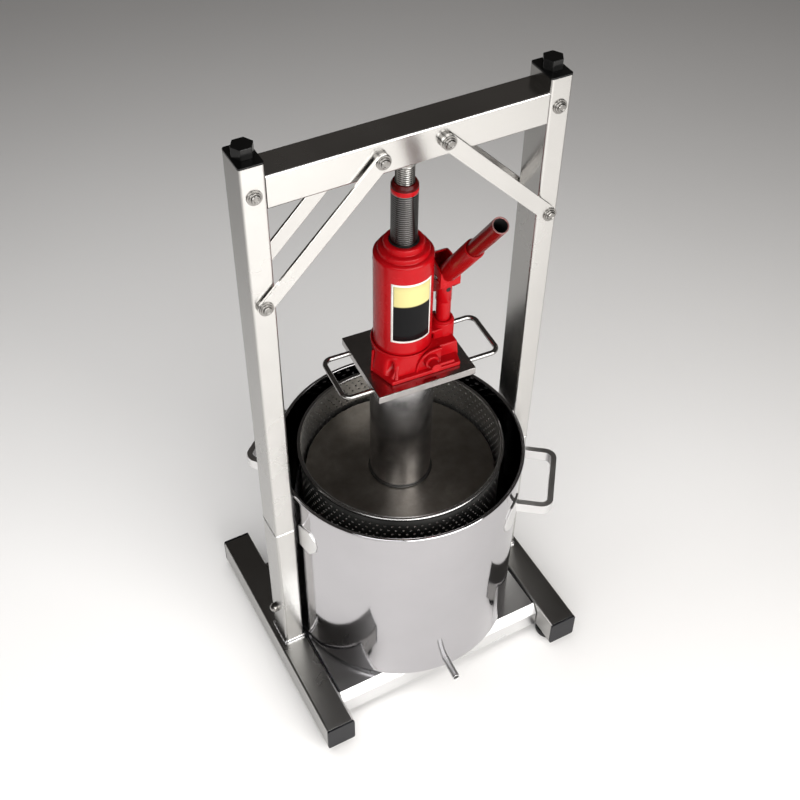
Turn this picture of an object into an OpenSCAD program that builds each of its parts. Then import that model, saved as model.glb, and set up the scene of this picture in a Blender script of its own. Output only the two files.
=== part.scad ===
// Hydraulic fruit press: a bottle jack pushes against a crossbeam and drives a round plate down
// into a perforated basket that stands in a pot with a drain spout.
// Frame: mm, +Z up, front towards -Y, origin on the floor under the basket's axis.

/* [Base] */
// height of the rubber feet
rubber_h = 10; // [6:0.5:16]
// diameter of the rubber feet
rubber_d = 36; // [28:1:38]
// distance of a rubber foot from the end of its foot tube
rubber_in = 27; // [22:1:60]
// sideways shift of the rubber feet towards the middle
rubber_shift = 3; // [0:0.5:4]
// width of the foot tubes
foot_w = 38; // [32:1:44]
// height of the foot tubes
foot_h = 40; // [34:1:46]
// length of a foot tube in front of the pot and behind it
foot_over = 22; // [10:1:50]
// shift of the foot tubes towards the back
foot_shift = 8; // [0:1:14]
// step of a foot tube's inner face inside the post's inner face
foot_in = 3; // [2:0.5:4]
// wall of the frame tubes
tube_wall = 2; // [1.5:0.1:2.5]
// corner radius of the frame tubes
tube_r = 3; // [2.6:0.1:4]
// thickness of an end cap outside its tube
cap_t = 3; // [2:0.25:5]
// depth of a plastic plug inside its tube
plug_depth = 12; // [8:1:14]
// clearance of a plastic plug in its tube
plug_fit = 0.1; // [0.05:0.05:0.3]
// side of the square cross rails and bearers
rail_w = 25; // [20:1:28]
// distance of a bearer from the middle
bearer_x = 62; // [45:1:90]
// sheet of the base plate
plate_t = 2; // [1.5:0.25:3]
// drop of the base plate below the top of the foot tubes
plate_drop = 1; // [0.5:0.25:3]
// gap between the base plate and a foot tube
plate_gap = 1; // [0.5:0.25:3]
// distance of the base plate's fold behind the front of the pot
plate_in = 32; // [24:1:38]
// run of the sloping fold
fold_run = 9; // [6:0.5:14]
// drop of the sloping fold
fold_drop = 12.5; // [8:0.5:16]

/* [Posts] */
// width of the uprights
post_w = 26; // [24:1:30]
// depth of the uprights
post_d = 40; // [36:1:42]
// step of the posts and the beam behind the pot's axis
post_shift = 2; // [0:0.5:4]
// gap between the pot's wall and an upright
post_gap = 4; // [4:0.5:8]
// drop of the joint between post and upright below the pot's rim
joint_drop = 63.2; // [40:0.2:100]
// upright tube above the crossbeam
post_over = 13.5; // [13:0.5:30]
// length of a spigot inside its upright
spigot_up = 62; // [40:1:80]
// clearance of a spigot in its tube
spigot_fit = 0.1; // [0.05:0.05:0.3]
// wall of the spigots
spigot_wall = 2.5; // [2:0.25:4]
// height of the cross bolts above the foot tubes
cross_up = 53; // [30:1:90]
// offset of the cross bolts towards the back
cross_y = 6; // [0:0.5:8]
// diameter of the cross bolts
cross_d = 6; // [5:0.25:6.5]
// diameter of a cross bolt's low nut
cross_nut_d = 11; // [9:0.5:12]
// height of a cross bolt's low nut between post and pot
cross_nut_h = 3; // [2:0.25:3.4]
// diameter of the domed heads
dome_d = 13; // [11:0.5:14]
// height of the domed heads
dome_h = 8; // [5:0.25:9]
// thickness of the top plug flange
plug_t = 2; // [1.5:0.25:4]
// size of the black hex heads over their corners
hex_d = 23; // [18:0.5:25]
// height of the black hex heads
hex_h = 12; // [8:0.5:14]

/* [Beam] */
// height of the crossbeam
beam_h = 38; // [34:1:42]
// depth of the crossbeam
beam_d = 38; // [30:1:38]
// length of a tongue inside the beam
tongue_in = 42; // [30:1:60]
// wall of the tongues
tongue_wall = 3; // [2.5:0.25:5]

/* [Braces] */
// width of the flat bars
brace_w = 17; // [14:0.5:20]
// thickness of the flat bars
brace_t = 3; // [2:0.25:4]
// distance of the upper brace bolts from the middle
brace_x = 36; // [28:1:60]
// drop of the lower brace bolts below the beam's middle
brace_drop = 131; // [100:1:170]
// gap between a brace and the upright behind it
brace_gap = 2; // [1:0.25:4]
// bolt diameter
bolt_d = 8; // [6:0.5:8]
// clearance around a bolt in its hole
bolt_fit = 0.2; // [0.1:0.05:0.4]
// bolt head and nut size over the corners
bolt_head_d = 13.5; // [12:0.25:15]
// height of the bolt heads
bolt_head_h = 5; // [3.5:0.25:6.5]
// height of the nuts
nut_h = 6.5; // [5:0.25:8]
// bolt end beyond its nut
bolt_end = 2; // [1:0.25:4]
// washer diameter
washer_d = 16; // [15.5:0.25:18]
// washer thickness
washer_t = 1.6; // [1:0.1:2]

/* [Pot] */
// radius of the pot
pot_r = 150; // [146:0.5:152]
// height of the pot
pot_h = 295; // [280:1:320]
// wall of the pot
pot_wall = 1.5; // [1:0.1:2]
// thickness of the pot's bottom
pot_floor = 3; // [2:0.25:5]
// bottom corner radius of the pot
pot_corner = 9; // [6:0.5:14]
// radius of the rolled rim
rim_r = 2.4; // [2:0.1:3]
// gap under a piece that stands loose
rest_gap = 0.2; // [0.1:0.05:0.3]
// direction of the right handle
right_handle_deg = -27; // [-34:0.5:-26.5]
// how far the right handle sits askew
right_skew_deg = -10; // [-12:0.5:0]
// direction of the left handle
left_handle_deg = 130; // [110:0.5:150]
// half width of a handle
handle_half = 49; // [42:0.5:50]
// reach of a handle beyond the pot's wall
handle_out = 47; // [38:0.5:54]
// thickness of the handle strap
strap_t = 7.5; // [5:0.25:8]
// height of the handle strap
strap_h = 15; // [10:0.5:18]
// outer corner radius of a handle
handle_r = 15; // [10:0.5:20]
// drop of the handles' top below the rim
handle_drop = 63.2; // [40:0.2:90]
// thickness of the handle feet
lug_t = 1.6; // [1.2:0.1:2.5]
// length of a handle foot along the wall
lug_l = 40; // [30:1:46]
// height of a handle foot
lug_h = 42; // [24:1:48]
// direction of the guide lug beside the left post
guide_deg = 189; // [187:0.5:196]
// length of the guide lug along the wall
guide_l = 29; // [20:1:36]
// gap of a welded seam on a round wall
weld_gap = 0.05; // [0.02:0.01:0.1]
// direction of the spout
spout_deg = -93.5; // [-100:0.5:-85]
// height of the spout above the pot's bottom
spout_z = 20; // [16:0.5:40]
// outside diameter of the spout
spout_d = 10; // [8:0.5:14]
// bore of the spout
spout_bore = 7; // [5:0.5:9]
// length of the spout outside the pot
spout_l = 30; // [20:1:60]

/* [Basket] */
// gap for the juice between basket and pot
juice_gap = 26; // [20:0.5:40]
// wall of the basket
basket_wall_t = 1.5; // [1:0.1:2]
// basket above the pot's rim
basket_over = 5.8; // [2:0.2:20]
// height of the hoop band
hoop_h = 12; // [8:0.5:18]
// thickness of the hoop band
hoop_t = 2; // [1.5:0.1:3]
// height of the basket's foot ring
ring_h = 6; // [4:0.5:12]
// distance of the foot ring inside the basket's wall
ring_in = 20; // [12:1:34]
// diameter of the drain holes
hole_d = 8; // [5:0.5:9]
// holes in one row of the wall
hole_n = 24; // [12:2:28]
// rows of holes in the wall
hole_rows = 6; // [3:1:7]
// rings of holes in the floor
floor_rings = 4; // [2:1:5]

/* [Press tool] */
// turn of the loose press tool and jack in the basket
tool_deg = -3.6; // [-8:0.2:8]
// gap between the press plate and the basket
press_gap = 4.5; // [3:0.25:10]
// thickness of the press plate
press_t = 8; // [5:0.5:12]
// depth of the press plate's top in the basket
press_depth = 48; // [30:1:120]
// pillar length
pillar_l = 180; // [120:1:220]
// pillar diameter
pillar_d = 75; // [66:0.5:84]
// pillar wall
pillar_wall = 3.5; // [2:0.25:6]
// jack plate length
jplate_l = 120; // [116:1:126]
// jack plate depth
jplate_d = 107; // [100:1:116]
// jack plate thickness
jplate_t = 10; // [6:0.5:12]
// shift of the jack plate towards the pump
jplate_shift = 7.7; // [6:0.1:10]
// diameter of the loop handles' rod
loop_d = 6; // [4:0.25:8]
// reach of a loop beyond the plate
loop_reach = 36; // [26:0.5:38]
// extra reach of the right loop
loop_more = 6; // [0:0.5:10]
// half width of a loop
loop_half = 33; // [26:0.5:38]
// step of the loops towards the front
loop_shift = 2; // [0:0.5:5]
// bend radius of a loop
loop_r = 10; // [7:0.5:14]

/* [Jack] */
// base casting height under the tank
base_h = 28; // [24:0.5:32]
// base flange length
base_l = 86; // [80:1:92]
// base flange depth
base_d = 84; // [78:1:90]
// shift of the base flange towards the pump
base_shift = 9; // [6:0.5:10]
// base flange height
base_t = 6; // [4:0.5:8]
// radius of the casting under the tank
tower_r = 35.8; // [34.6:0.1:36]
// reach of a corner rib
rib_reach = 52; // [48:0.5:53]
// thickness of a corner rib
rib_t = 7; // [5:0.5:9]
// height of a rib's outer end
rib_low = 9; // [7:0.5:14]
// tank radius
tank_r = 33; // [31:0.25:34.5]
// tank wall
tank_wall = 3; // [2:0.25:4]
// tank height
tank_h = 120; // [112:1:124]
// radius of the top nut's upper step
nut_r = 25.5; // [23:0.25:27]
// height of the top nut
nut_top = 19; // [16:0.5:20]
// ram radius
ram_r = 14.4; // [13:0.1:15]
// ram above the top nut
ram_out = 73; // [65:0.5:90]
// chamfer of the ram's top
ram_chamfer = 3; // [2:0.25:3.5]
// piston radius
piston_r = 17; // [16.5:0.1:18]
// running clearance of ram, piston, plunger and pins
run_fit = 0.05; // [0.03:0.01:0.08]
// piston height
piston_h = 12; // [10:0.5:16]
// piston bottom below the tank's top
piston_drop = 56; // [54:0.5:60]
// height of the piston seal
seal_h = 4; // [3:0.25:5]
// seal depth
seal_t = 2.2; // [1.5:0.1:2.5]
// wall of the inner cylinder
bore_wall = 3; // [2:0.25:4]
// depth of the inner cylinder's seat in the base
bore_seat = 5; // [3:0.5:8]
// radius of the extension screw
screw_r = 10.2; // [9:0.1:10.6]
// clearance of the screw in the ram
screw_fit = 0.1; // [0.05:0.01:0.15]
// gap between the ram and the screw's saddle
screw_out = 21.6; // [18:0.2:26]
// length of the screw under its saddle
screw_l = 84; // [70:1:90]
// saddle radius
saddle_r = 12.5; // [11:0.25:14]
// saddle height
saddle_h = 5; // [4:0.5:8]
// gap between the saddle and the beam
saddle_gap = 0.4; // [0.3:0.1:1]

/* [Pump] */
// distance of the pump from the jack's axis
pump_x = 50; // [49:0.25:52]
// radius of the pump boss
boss_r = 12.75; // [12:0.25:14]
// height of the pump boss
boss_h = 38; // [34:0.5:40]
// radius of the pump cylinder
pump_r = 9.2; // [8.5:0.1:9.6]
// top of the pump cylinder above the plate
pump_h = 77; // [70:0.5:79]
// height of the pump's narrow neck
neck_h = 18; // [12:0.5:22]
// radius of the pump's narrow neck
neck_r = 8; // [7.5:0.1:8.5]
// diameter of the weep hole in the pump's head
weep_d = 4; // [3:0.25:5]
// depth of the pump cylinder in its boss
pump_seat = 10; // [6:0.5:14]
// plunger radius
plunger_r = 5; // [4:0.25:5.5]
// bottom of the plunger above the plate
plunger_z = 42; // [42:0.5:46]
// height of the plunger's pin above the plate
pin_z = 102; // [100:0.5:104]
// diameter of the plunger's pin
pin_d = 6; // [5:0.25:6.5]
// plunger above its pin
plunger_over = 4.5; // [4:0.25:5]
// height of the fulcrum above the plate
fulcrum_z = 95; // [93:0.5:97]
// distance of the fulcrum behind the plunger
fulcrum_y = 18; // [17:0.25:20]
// diameter of the fulcrum pin
fulcrum_d = 7; // [6:0.25:8]
// half gap between the yoke plates
yoke_half = 9.8; // [9.7:0.05:10.5]
// thickness of the yoke plates
yoke_t = 2.4; // [2:0.1:3]
// slot clearance around the plunger's pin
slot_fit = 0.6; // [0.4:0.05:1]
// link thickness
link_t = 3; // [2:0.25:4]
// link width
link_w = 15; // [13:0.5:18]
// gap between a link and the yoke
link_gap = 0.4; // [0.3:0.05:0.8]
// height of the block that carries the links
block_h = 24; // [18:0.5:28]
// elevation of the socket tube
socket_tilt = 53; // [45:0.5:60]
// start of the socket tube along its axis
socket_start = 14; // [13:0.5:18]
// end of the socket tube along its axis
socket_end = 103; // [80:1:120]
// height where the socket's axis crosses the plunger's axis
socket_z = 100; // [99:0.5:104]
// outside radius of the socket tube
socket_r = 11; // [10.5:0.1:12]
// outside radius of the handle tube
bar_r = 8.8; // [8:0.1:9]
// clearance of the handle tube in its socket
bar_fit = 0.1; // [0.05:0.01:0.2]
// bore radius of the handle tube
bar_bore = 7.2; // [6:0.1:7.4]
// length of the handle tube outside its socket
bar_out = 77; // [60:1:90]
// sideways place of the release valve
valve_x = 18; // [14:0.5:20]
// height of the release valve above the plate
valve_z = 17; // [15:0.5:19]
// radius of the valve boss
valve_boss_r = 10; // [8:0.25:11]
// front of the valve boss
valve_boss_y = 43; // [41:0.5:46]
// radius of the valve stem
valve_r = 4; // [3:0.25:5]
// length of the valve stem inside the boss
valve_in = 16; // [10:0.5:18]
// radius of the valve head
valve_head_r = 5.5; // [4.5:0.25:6.5]
// length of the valve head
valve_head_l = 9; // [7:0.5:12]
// diameter of the valve's side pin
valve_pin_d = 4.2; // [3:0.2:5]
// reach of the valve's side pin
valve_pin_l = 23; // [16:0.5:26]
// radius of the filler plug
filler_r = 4; // [3:0.25:5]
// drop of the filler plug on the tank
filler_drop = 18; // [14:1:40]
// direction of the filler plug
filler_turn = 125; // [100:1:160]
// head of the filler plug outside the tank
filler_head = 2.5; // [1.5:0.25:4]

/* [Hidden] */
// extra length of a cutter beyond the face it opens
over = 1;
// facets that stand for a true circle
$fn = 48;
// sides of a hexagon
hex_n = 6;
foot_top = rubber_h + foot_h;
post_x = pot_r + post_gap;
post_cx = post_x + post_w / 2;
foot_x = post_x - foot_in;
foot_cx = foot_x + foot_w / 2;
foot_l = 2 * (pot_r + foot_over);
foot_tube_l = foot_l - 2 * cap_t;
plate_top = foot_top - plate_drop;
plate_y = pot_r - plate_in;
rail_top = plate_top - plate_t;
rail_y = plate_y - plate_t;
skirt_y = plate_y + fold_run;
fold_z = plate_top - fold_drop;
skirt_z = rubber_h + plate_drop;
pot_z = plate_top + rest_gap;
pot_top = pot_z + pot_h;
pot_inside = pot_z + pot_floor;
joint_z = pot_top - joint_drop;
cross_z = foot_top + cross_up;
handle_z = pot_top - handle_drop;
handle_low = handle_z - strap_h;
handle_reach = pot_r + handle_out;
leg_deg = asin((handle_half - strap_t / 2) / pot_r);
basket_r = pot_r - juice_gap;
basket_in = basket_r - basket_wall_t;
basket_top = pot_top + basket_over;
basket_z = pot_inside + rest_gap;
basket_floor_z = basket_z + ring_h;
ring_r = basket_r - ring_in;
press_r = basket_in - press_gap;
press_z = basket_top - press_depth;
jplate_z = press_z + pillar_l + jplate_t;
tank_z = jplate_z + base_h;
tank_top = tank_z + tank_h;
bore_z = tank_z - bore_seat;
filler_z = tank_h - filler_drop;
piston_z = tank_top - piston_drop;
ram_top = tank_top + nut_top + ram_out;
saddle_z = ram_top + screw_out;
screw_z = saddle_z - screw_l;
beam_z = saddle_z + saddle_h + saddle_gap;
beam_top = beam_z + beam_h;
beam_mid = beam_z + beam_h / 2;
beam_in_d = beam_d - 2 * tube_wall;
beam_in_h = beam_h - 2 * tube_wall;
tongue_end = post_x + post_w - tube_wall - spigot_fit;
brace_z = beam_mid - brace_drop;
brace_y = post_d / 2 + brace_gap;
brace_out = brace_y + brace_t;
post_top = beam_top + post_over;
link_half = yoke_half + yoke_t + link_gap;
bar_start = socket_start + yoke_t + rest_gap;
bar_end = socket_end + bar_out;
// steps of the top nut: share of its height and of the way from its wide to its narrow radius
nut_step_shares = [[0, 0], [0.3, 0.15], [0.36, 0.45], [0.66, 0.55], [0.72, 0.9], [0.94, 1], [1, 1.12]];
// outline of a yoke plate: shares of link width behind and of fulcrum height above the fulcrum
yoke_shares = [[-2.2, -0.18], [-1.3, -0.24], [0.2, -0.17], [0.62, -0.04], [0.62, 0.08], [0.1, 0.26],
               [-0.7, 0.34], [-1.7, 0.26], [-2.2, 0.1]];
// share of a yoke plate's outline where the sheet that closes its back has its inner face
back_share = 0.86;
// outline of a handle foot: shares of its length outwards and of its height
lug_shares = [[-0.16, 0.02], [0.55, 0], [0.92, 0.3], [1, 0.55], [0.9, 0.82], [0.6, 1], [-0.16, 0.9]];

// rectangle with round corners
module round_rect(w, d, r) {
  square([w - 2 * r, d], center = true);
  square([w, d - 2 * r], center = true);
  for (sx = [-1, 1], sy = [-1, 1]) {
    translate([sx * (w / 2 - r), sy * (d / 2 - r)]) circle(r = r);
  }
}

// cross section of a rectangular tube
module tube_section(w, d, wall) {
  difference() {
    round_rect(w, d, tube_r);
    round_rect(w - 2 * wall, d - 2 * wall, max(tube_r - wall, tube_r / 4));
  }
}

// round rod along Y from one y to another
module rod_y(r, y1, y2) {
  translate([0, y1, 0]) rotate([-90, 0, 0]) cylinder(r = r, h = y2 - y1);
}

// hexagon along Y from one y to another
module hex_y(d, y1, y2) {
  translate([0, y1, 0]) rotate([-90, 0, 0]) cylinder(d = d, h = y2 - y1, $fn = hex_n);
}

// washer along Y from one y to another
module washer_y(y1, y2) {
  difference() {
    rod_y(washer_d / 2, y1, y2);
    rod_y(bolt_d / 2 + bolt_fit, y1 - over, y2 + over);
  }
}

// hole for a bolt along Y through everything
module bolt_hole() {
  rod_y(bolt_d / 2 + bolt_fit, -brace_out - nut_h, brace_out + nut_h);
}

module foot_tube(side) {
  color("silver") difference() {
    translate([side * foot_cx, foot_shift + foot_tube_l / 2, rubber_h + foot_h / 2]) rotate([90, 0, 0])
      linear_extrude(foot_tube_l) tube_section(foot_w, foot_h, tube_wall);
    for (end = [-1, 1]) {
      translate([side * (foot_cx - rubber_shift), foot_shift + end * (foot_l / 2 - rubber_in), rubber_h - over])
        cylinder(d = bolt_d + 2 * bolt_fit, h = tube_wall + 2 * over);
    }
  }
}

module foot_tube_left() { foot_tube(-1); }
module foot_tube_right() { foot_tube(1); }

module foot_end_caps() {
  in_w = foot_w - 2 * tube_wall - 2 * plug_fit;
  in_h = foot_h - 2 * tube_wall - 2 * plug_fit;
  color("darkslategray") for (side = [-1, 1], end = [-1, 1]) {
    translate([side * foot_cx, foot_shift + end * foot_tube_l / 2, rubber_h + foot_h / 2])
      rotate([end * -90, 0, 0]) {
      linear_extrude(cap_t) round_rect(foot_w, foot_h, tube_r);
      translate([0, 0, -plug_depth]) linear_extrude(plug_depth + over) difference() {
        round_rect(in_w, in_h, tube_r / 2);
        round_rect(in_w - 2 * cap_t, in_h - 2 * cap_t, tube_r / 4);
      }
    }
  }
}

// puts its children at the four rubber feet
module at_feet() {
  for (side = [-1, 1], end = [-1, 1]) {
    translate([side * (foot_cx - rubber_shift), foot_shift + end * (foot_l / 2 - rubber_in), 0]) children();
  }
}

module rubber_feet() {
  color("black") at_feet() difference() {
    union() {
      cylinder(d1 = rubber_d - rubber_h / 2, d2 = rubber_d, h = rubber_h / 4);
      translate([0, 0, rubber_h / 4]) cylinder(d = rubber_d, h = rubber_h * 3 / 4);
    }
    translate([0, 0, -over]) cylinder(d = bolt_d + 2 * bolt_fit, h = rubber_h + 2 * over);
    translate([0, 0, -over]) cylinder(d = washer_d + 2 * bolt_fit, h = rubber_h / 2 + over);
  }
}

module foot_screws() {
  color("gainsboro") at_feet() {
    translate([0, 0, rubber_h / 2 - bolt_head_h * 3 / 5]) cylinder(d = bolt_head_d, h = bolt_head_h * 3 / 5);
    translate([0, 0, rubber_h / 2 - over])
      cylinder(d = bolt_d, h = rubber_h / 2 + tube_wall + nut_h + bolt_end);
    translate([0, 0, rubber_h + tube_wall]) cylinder(d = bolt_head_d, h = nut_h, $fn = hex_n);
  }
}

module rail(side) {
  color("silver") translate([-foot_x, side * (rail_y - rail_w / 2), rail_top - rail_w / 2])
    rotate([90, 0, 90])
    linear_extrude(2 * foot_x) tube_section(rail_w, rail_w, tube_wall);
}

module front_rail() { rail(-1); }
module rear_rail() { rail(1); }

module base_bearers() {
  bearer_l = 2 * (rail_y - rail_w);
  color("silver") for (side = [-1, 1]) {
    translate([side * bearer_x, bearer_l / 2, rail_top - rail_w / 2]) rotate([90, 0, 0])
      linear_extrude(bearer_l) tube_section(rail_w, rail_w, tube_wall);
  }
}

module base_plate() {
  plate_w = 2 * (foot_x - plate_gap);
  in_y = skirt_y - plate_t;
  in_z = fold_z - plate_t / 2;
  color("lightgray") translate([-plate_w / 2, 0, 0]) rotate([90, 0, 90]) linear_extrude(plate_w)
    polygon([[-skirt_y, skirt_z], [-skirt_y, fold_z], [-plate_y, plate_top], [plate_y, plate_top],
             [skirt_y, fold_z], [skirt_y, skirt_z], [in_y, skirt_z],
             [in_y, in_z], [rail_y + plate_t / 2, rail_top],
             [-rail_y - plate_t / 2, rail_top], [-in_y, in_z], [-in_y, skirt_z]]);
}

// hole for a cross bolt right through a post
module cross_hole(side) {
  translate([side * post_cx - post_w, cross_y, cross_z]) rotate([0, 90, 0])
    cylinder(d = cross_d + 2 * bolt_fit, h = 2 * post_w);
}

// the plane of the posts and the beam
module on_posts() { translate([0, post_shift, 0]) children(); }

module stub_post(side) {
  color("silver") on_posts() difference() {
    translate([side * post_cx, 0, foot_top]) linear_extrude(joint_z - foot_top)
      tube_section(post_w, post_d, tube_wall);
    cross_hole(side);
  }
}

module stub_post_left() { stub_post(-1); }
module stub_post_right() { stub_post(1); }

module spigot(side) {
  fit = 2 * tube_wall + 2 * spigot_fit;
  color("gray") on_posts() difference() {
    translate([side * post_cx, 0, foot_top + rest_gap]) linear_extrude(joint_z + spigot_up - foot_top)
      tube_section(post_w - fit, post_d - fit, spigot_wall);
    cross_hole(side);
  }
}

module spigot_left() { spigot(-1); }
module spigot_right() { spigot(1); }

module upright(side) {
  color("silver") on_posts() difference() {
    translate([side * post_cx, 0, joint_z]) linear_extrude(post_top - joint_z)
      tube_section(post_w, post_d, tube_wall);
    translate([side * post_cx, 0, beam_mid]) bolt_hole();
    translate([side * post_cx, 0, brace_z]) bolt_hole();
    translate([side * post_x - tube_wall - over, -beam_in_d / 2, beam_z + tube_wall])
      cube([2 * (tube_wall + over), beam_in_d, beam_in_h]);
  }
}

module upright_left() { upright(-1); }
module upright_right() { upright(1); }

module crossbeam() {
  color("silver") on_posts() difference() {
    translate([-post_x, 0, beam_mid]) rotate([90, 0, 90]) linear_extrude(2 * post_x)
      tube_section(beam_d, beam_h, tube_wall);
    for (side = [-1, 1]) {
      translate([side * brace_x, 0, beam_mid]) bolt_hole();
    }
  }
}

module beam_tongues() {
  tongue_l = tongue_end - post_x + tongue_in;
  color("gray") on_posts() for (side = [-1, 1]) difference() {
    translate([side * (post_x - tongue_in + tongue_l / 2) - tongue_l / 2, 0, beam_mid]) rotate([90, 0, 90])
      linear_extrude(tongue_l)
      tube_section(beam_in_d - 2 * spigot_fit, beam_in_h - 2 * spigot_fit, tongue_wall);
    translate([side * post_cx, 0, beam_mid]) bolt_hole();
  }
}

module top_plugs() {
  in_w = post_w - 2 * tube_wall - 2 * plug_fit;
  in_d = post_d - 2 * tube_wall - 2 * plug_fit;
  color("black") on_posts() for (side = [-1, 1]) translate([side * post_cx, 0, post_top]) difference() {
    union() {
      linear_extrude(plug_t) round_rect(post_w, post_d, tube_r);
      translate([0, 0, -plug_depth]) linear_extrude(plug_depth + over) round_rect(in_w, in_d, tube_r / 2);
    }
    translate([0, 0, -plug_depth - over])
      cylinder(d = bolt_d + 2 * spigot_fit, h = plug_depth + plug_t + 2 * over);
  }
}

module top_hex_heads() {
  color("black") on_posts() for (side = [-1, 1]) translate([side * post_cx, 0, post_top + plug_t]) {
    cylinder(d = hex_d, h = hex_h, $fn = hex_n);
    translate([0, 0, -plug_t - plug_depth + over]) cylinder(d = bolt_d, h = plug_t + plug_depth);
  }
}

module beam_bolts() {
  y1 = -post_d / 2 - washer_t;
  y2 = post_d / 2 + washer_t + nut_h + bolt_end;
  color("gainsboro") on_posts() for (side = [-1, 1]) translate([side * post_cx, 0, beam_mid]) {
    hex_y(bolt_head_d, y1 - bolt_head_h, y1);
    rod_y(bolt_d / 2, y1 - over, y2);
  }
}

// puts its children at the four brace bolts
module at_brace_bolts() {
  for (side = [-1, 1]) {
    translate([side * brace_x, 0, beam_mid]) children();
    translate([side * post_cx, 0, brace_z]) children();
  }
}

module brace_bolts() {
  y1 = -brace_out - washer_t;
  y2 = brace_out + washer_t + nut_h + bolt_end;
  color("gainsboro") on_posts() at_brace_bolts() {
    hex_y(bolt_head_d, y1 - bolt_head_h, y1);
    rod_y(bolt_d / 2, y1 - over, y2);
  }
}

// nut along Y that starts at y
module nut_y(y) {
  difference() {
    hex_y(bolt_head_d, y, y + nut_h);
    rod_y(bolt_d / 2 + weld_gap, y - over, y + nut_h + over);
  }
}

module hex_nuts() {
  color("gainsboro") on_posts() {
    at_brace_bolts() nut_y(brace_out + washer_t);
    for (side = [-1, 1]) translate([side * post_cx, 0, beam_mid]) nut_y(post_d / 2 + washer_t);
  }
}

module washers() {
  color("gainsboro") on_posts() {
    at_brace_bolts() {
      washer_y(-brace_out - washer_t, -brace_out);
      washer_y(brace_out, brace_out + washer_t);
    }
    for (side = [-1, 1]) translate([side * post_cx, 0, beam_mid]) {
      washer_y(-post_d / 2 - washer_t, -post_d / 2);
      washer_y(post_d / 2, post_d / 2 + washer_t);
    }
  }
}

module brace_spacers() {
  color("gainsboro") on_posts() for (side = [-1, 1]) {
    translate([side * brace_x, 0, beam_mid]) {
      washer_y(-brace_y, -beam_d / 2);
      washer_y(beam_d / 2, brace_y);
    }
    translate([side * post_cx, 0, brace_z]) {
      washer_y(-brace_y, -post_d / 2);
      washer_y(post_d / 2, brace_y);
    }
  }
}

// flat bar from the lower to the upper bolt; face is the y of its front
module brace(side, face) {
  run = post_cx - brace_x;
  rise = beam_mid - brace_z;
  bar_l = sqrt(run * run + rise * rise);
  color("silver") on_posts() translate([side * post_cx, face + brace_t, brace_z]) rotate([90, 0, 0])
    linear_extrude(brace_t) rotate(atan2(rise, -side * run)) difference() {
    union() {
      translate([0, -brace_w / 2]) square([bar_l, brace_w]);
      circle(d = brace_w);
      translate([bar_l, 0]) circle(d = brace_w);
    }
    circle(d = bolt_d + 2 * bolt_fit);
    translate([bar_l, 0]) circle(d = bolt_d + 2 * bolt_fit);
  }
}

module brace_front_left() { brace(-1, -brace_out); }
module brace_front_right() { brace(1, -brace_out); }
module brace_back_left() { brace(-1, brace_y); }
module brace_back_right() { brace(1, brace_y); }

// puts its children on the outer face of a post, +Z pointing outwards
module at_cross_bolts() {
  for (side = [-1, 1]) {
    on_posts() translate([side * (post_x + post_w), cross_y, cross_z]) rotate([0, side * 90, 0]) children();
  }
}

module cross_bolts() {
  cross_l = post_w + cross_nut_h / 2;
  color("gainsboro") at_cross_bolts() {
    cylinder(d = dome_d, h = dome_h / 2);
    translate([0, 0, dome_h / 2]) cylinder(d1 = dome_d, d2 = dome_d / 2, h = dome_h / 2);
    translate([0, 0, -cross_l]) cylinder(d = cross_d, h = cross_l + over);
  }
}

module cross_nuts() {
  color("gainsboro") at_cross_bolts() translate([0, 0, -post_w]) mirror([0, 0, 1]) difference() {
    union() {
      cylinder(d = cross_nut_d, h = cross_nut_h / 2);
      translate([0, 0, cross_nut_h / 2]) cylinder(d1 = cross_nut_d, d2 = cross_nut_d / 2, h = cross_nut_h / 2);
    }
    translate([0, 0, -over]) cylinder(d = cross_d + 2 * weld_gap, h = cross_nut_h / 2 + over);
  }
}

// filled half profile of a round vessel with a round bottom corner
module vessel(r, h, corner) {
  square([r - corner, h]);
  translate([0, corner]) square([r, h - corner]);
  translate([r - corner, corner]) circle(r = corner);
}

module pot_shell() {
  color("silver") difference() {
    translate([0, 0, pot_z]) rotate_extrude() {
      difference() {
        vessel(pot_r, pot_h - rim_r, pot_corner);
        translate([0, pot_floor]) vessel(pot_r - pot_wall, pot_h, pot_corner - pot_wall);
        translate([-pot_r, 0]) square([pot_r, pot_h]);
      }
      translate([pot_r - pot_wall + rim_r, pot_h - rim_r]) circle(r = rim_r);
    }
    rotate([0, 0, spout_deg]) translate([pot_r - 2 * pot_corner, 0, pot_z + spout_z]) rotate([0, 90, 0])
      cylinder(d = spout_bore + 2 * weld_gap, h = 3 * pot_corner);
  }
}

// flared sheet lug that lies on the pot's wall and points along the wall to one side
module wall_lug(side, reach) {
  difference() {
    intersection() {
      translate([0, 0, handle_low - lug_h]) cylinder(r = pot_r + weld_gap + lug_t, h = strap_h + 2 * lug_h);
      translate([pot_r / 2, 0, handle_low + strap_h / 2 - lug_h / 2]) rotate([90, 0, 90])
        linear_extrude(pot_r) polygon([for (p = lug_shares) [side * p[0] * reach, p[1] * lug_h]]);
    }
    translate([0, 0, handle_low - lug_h - over])
      cylinder(r = pot_r + weld_gap, h = strap_h + 2 * (lug_h + over));
  }
}

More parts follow.
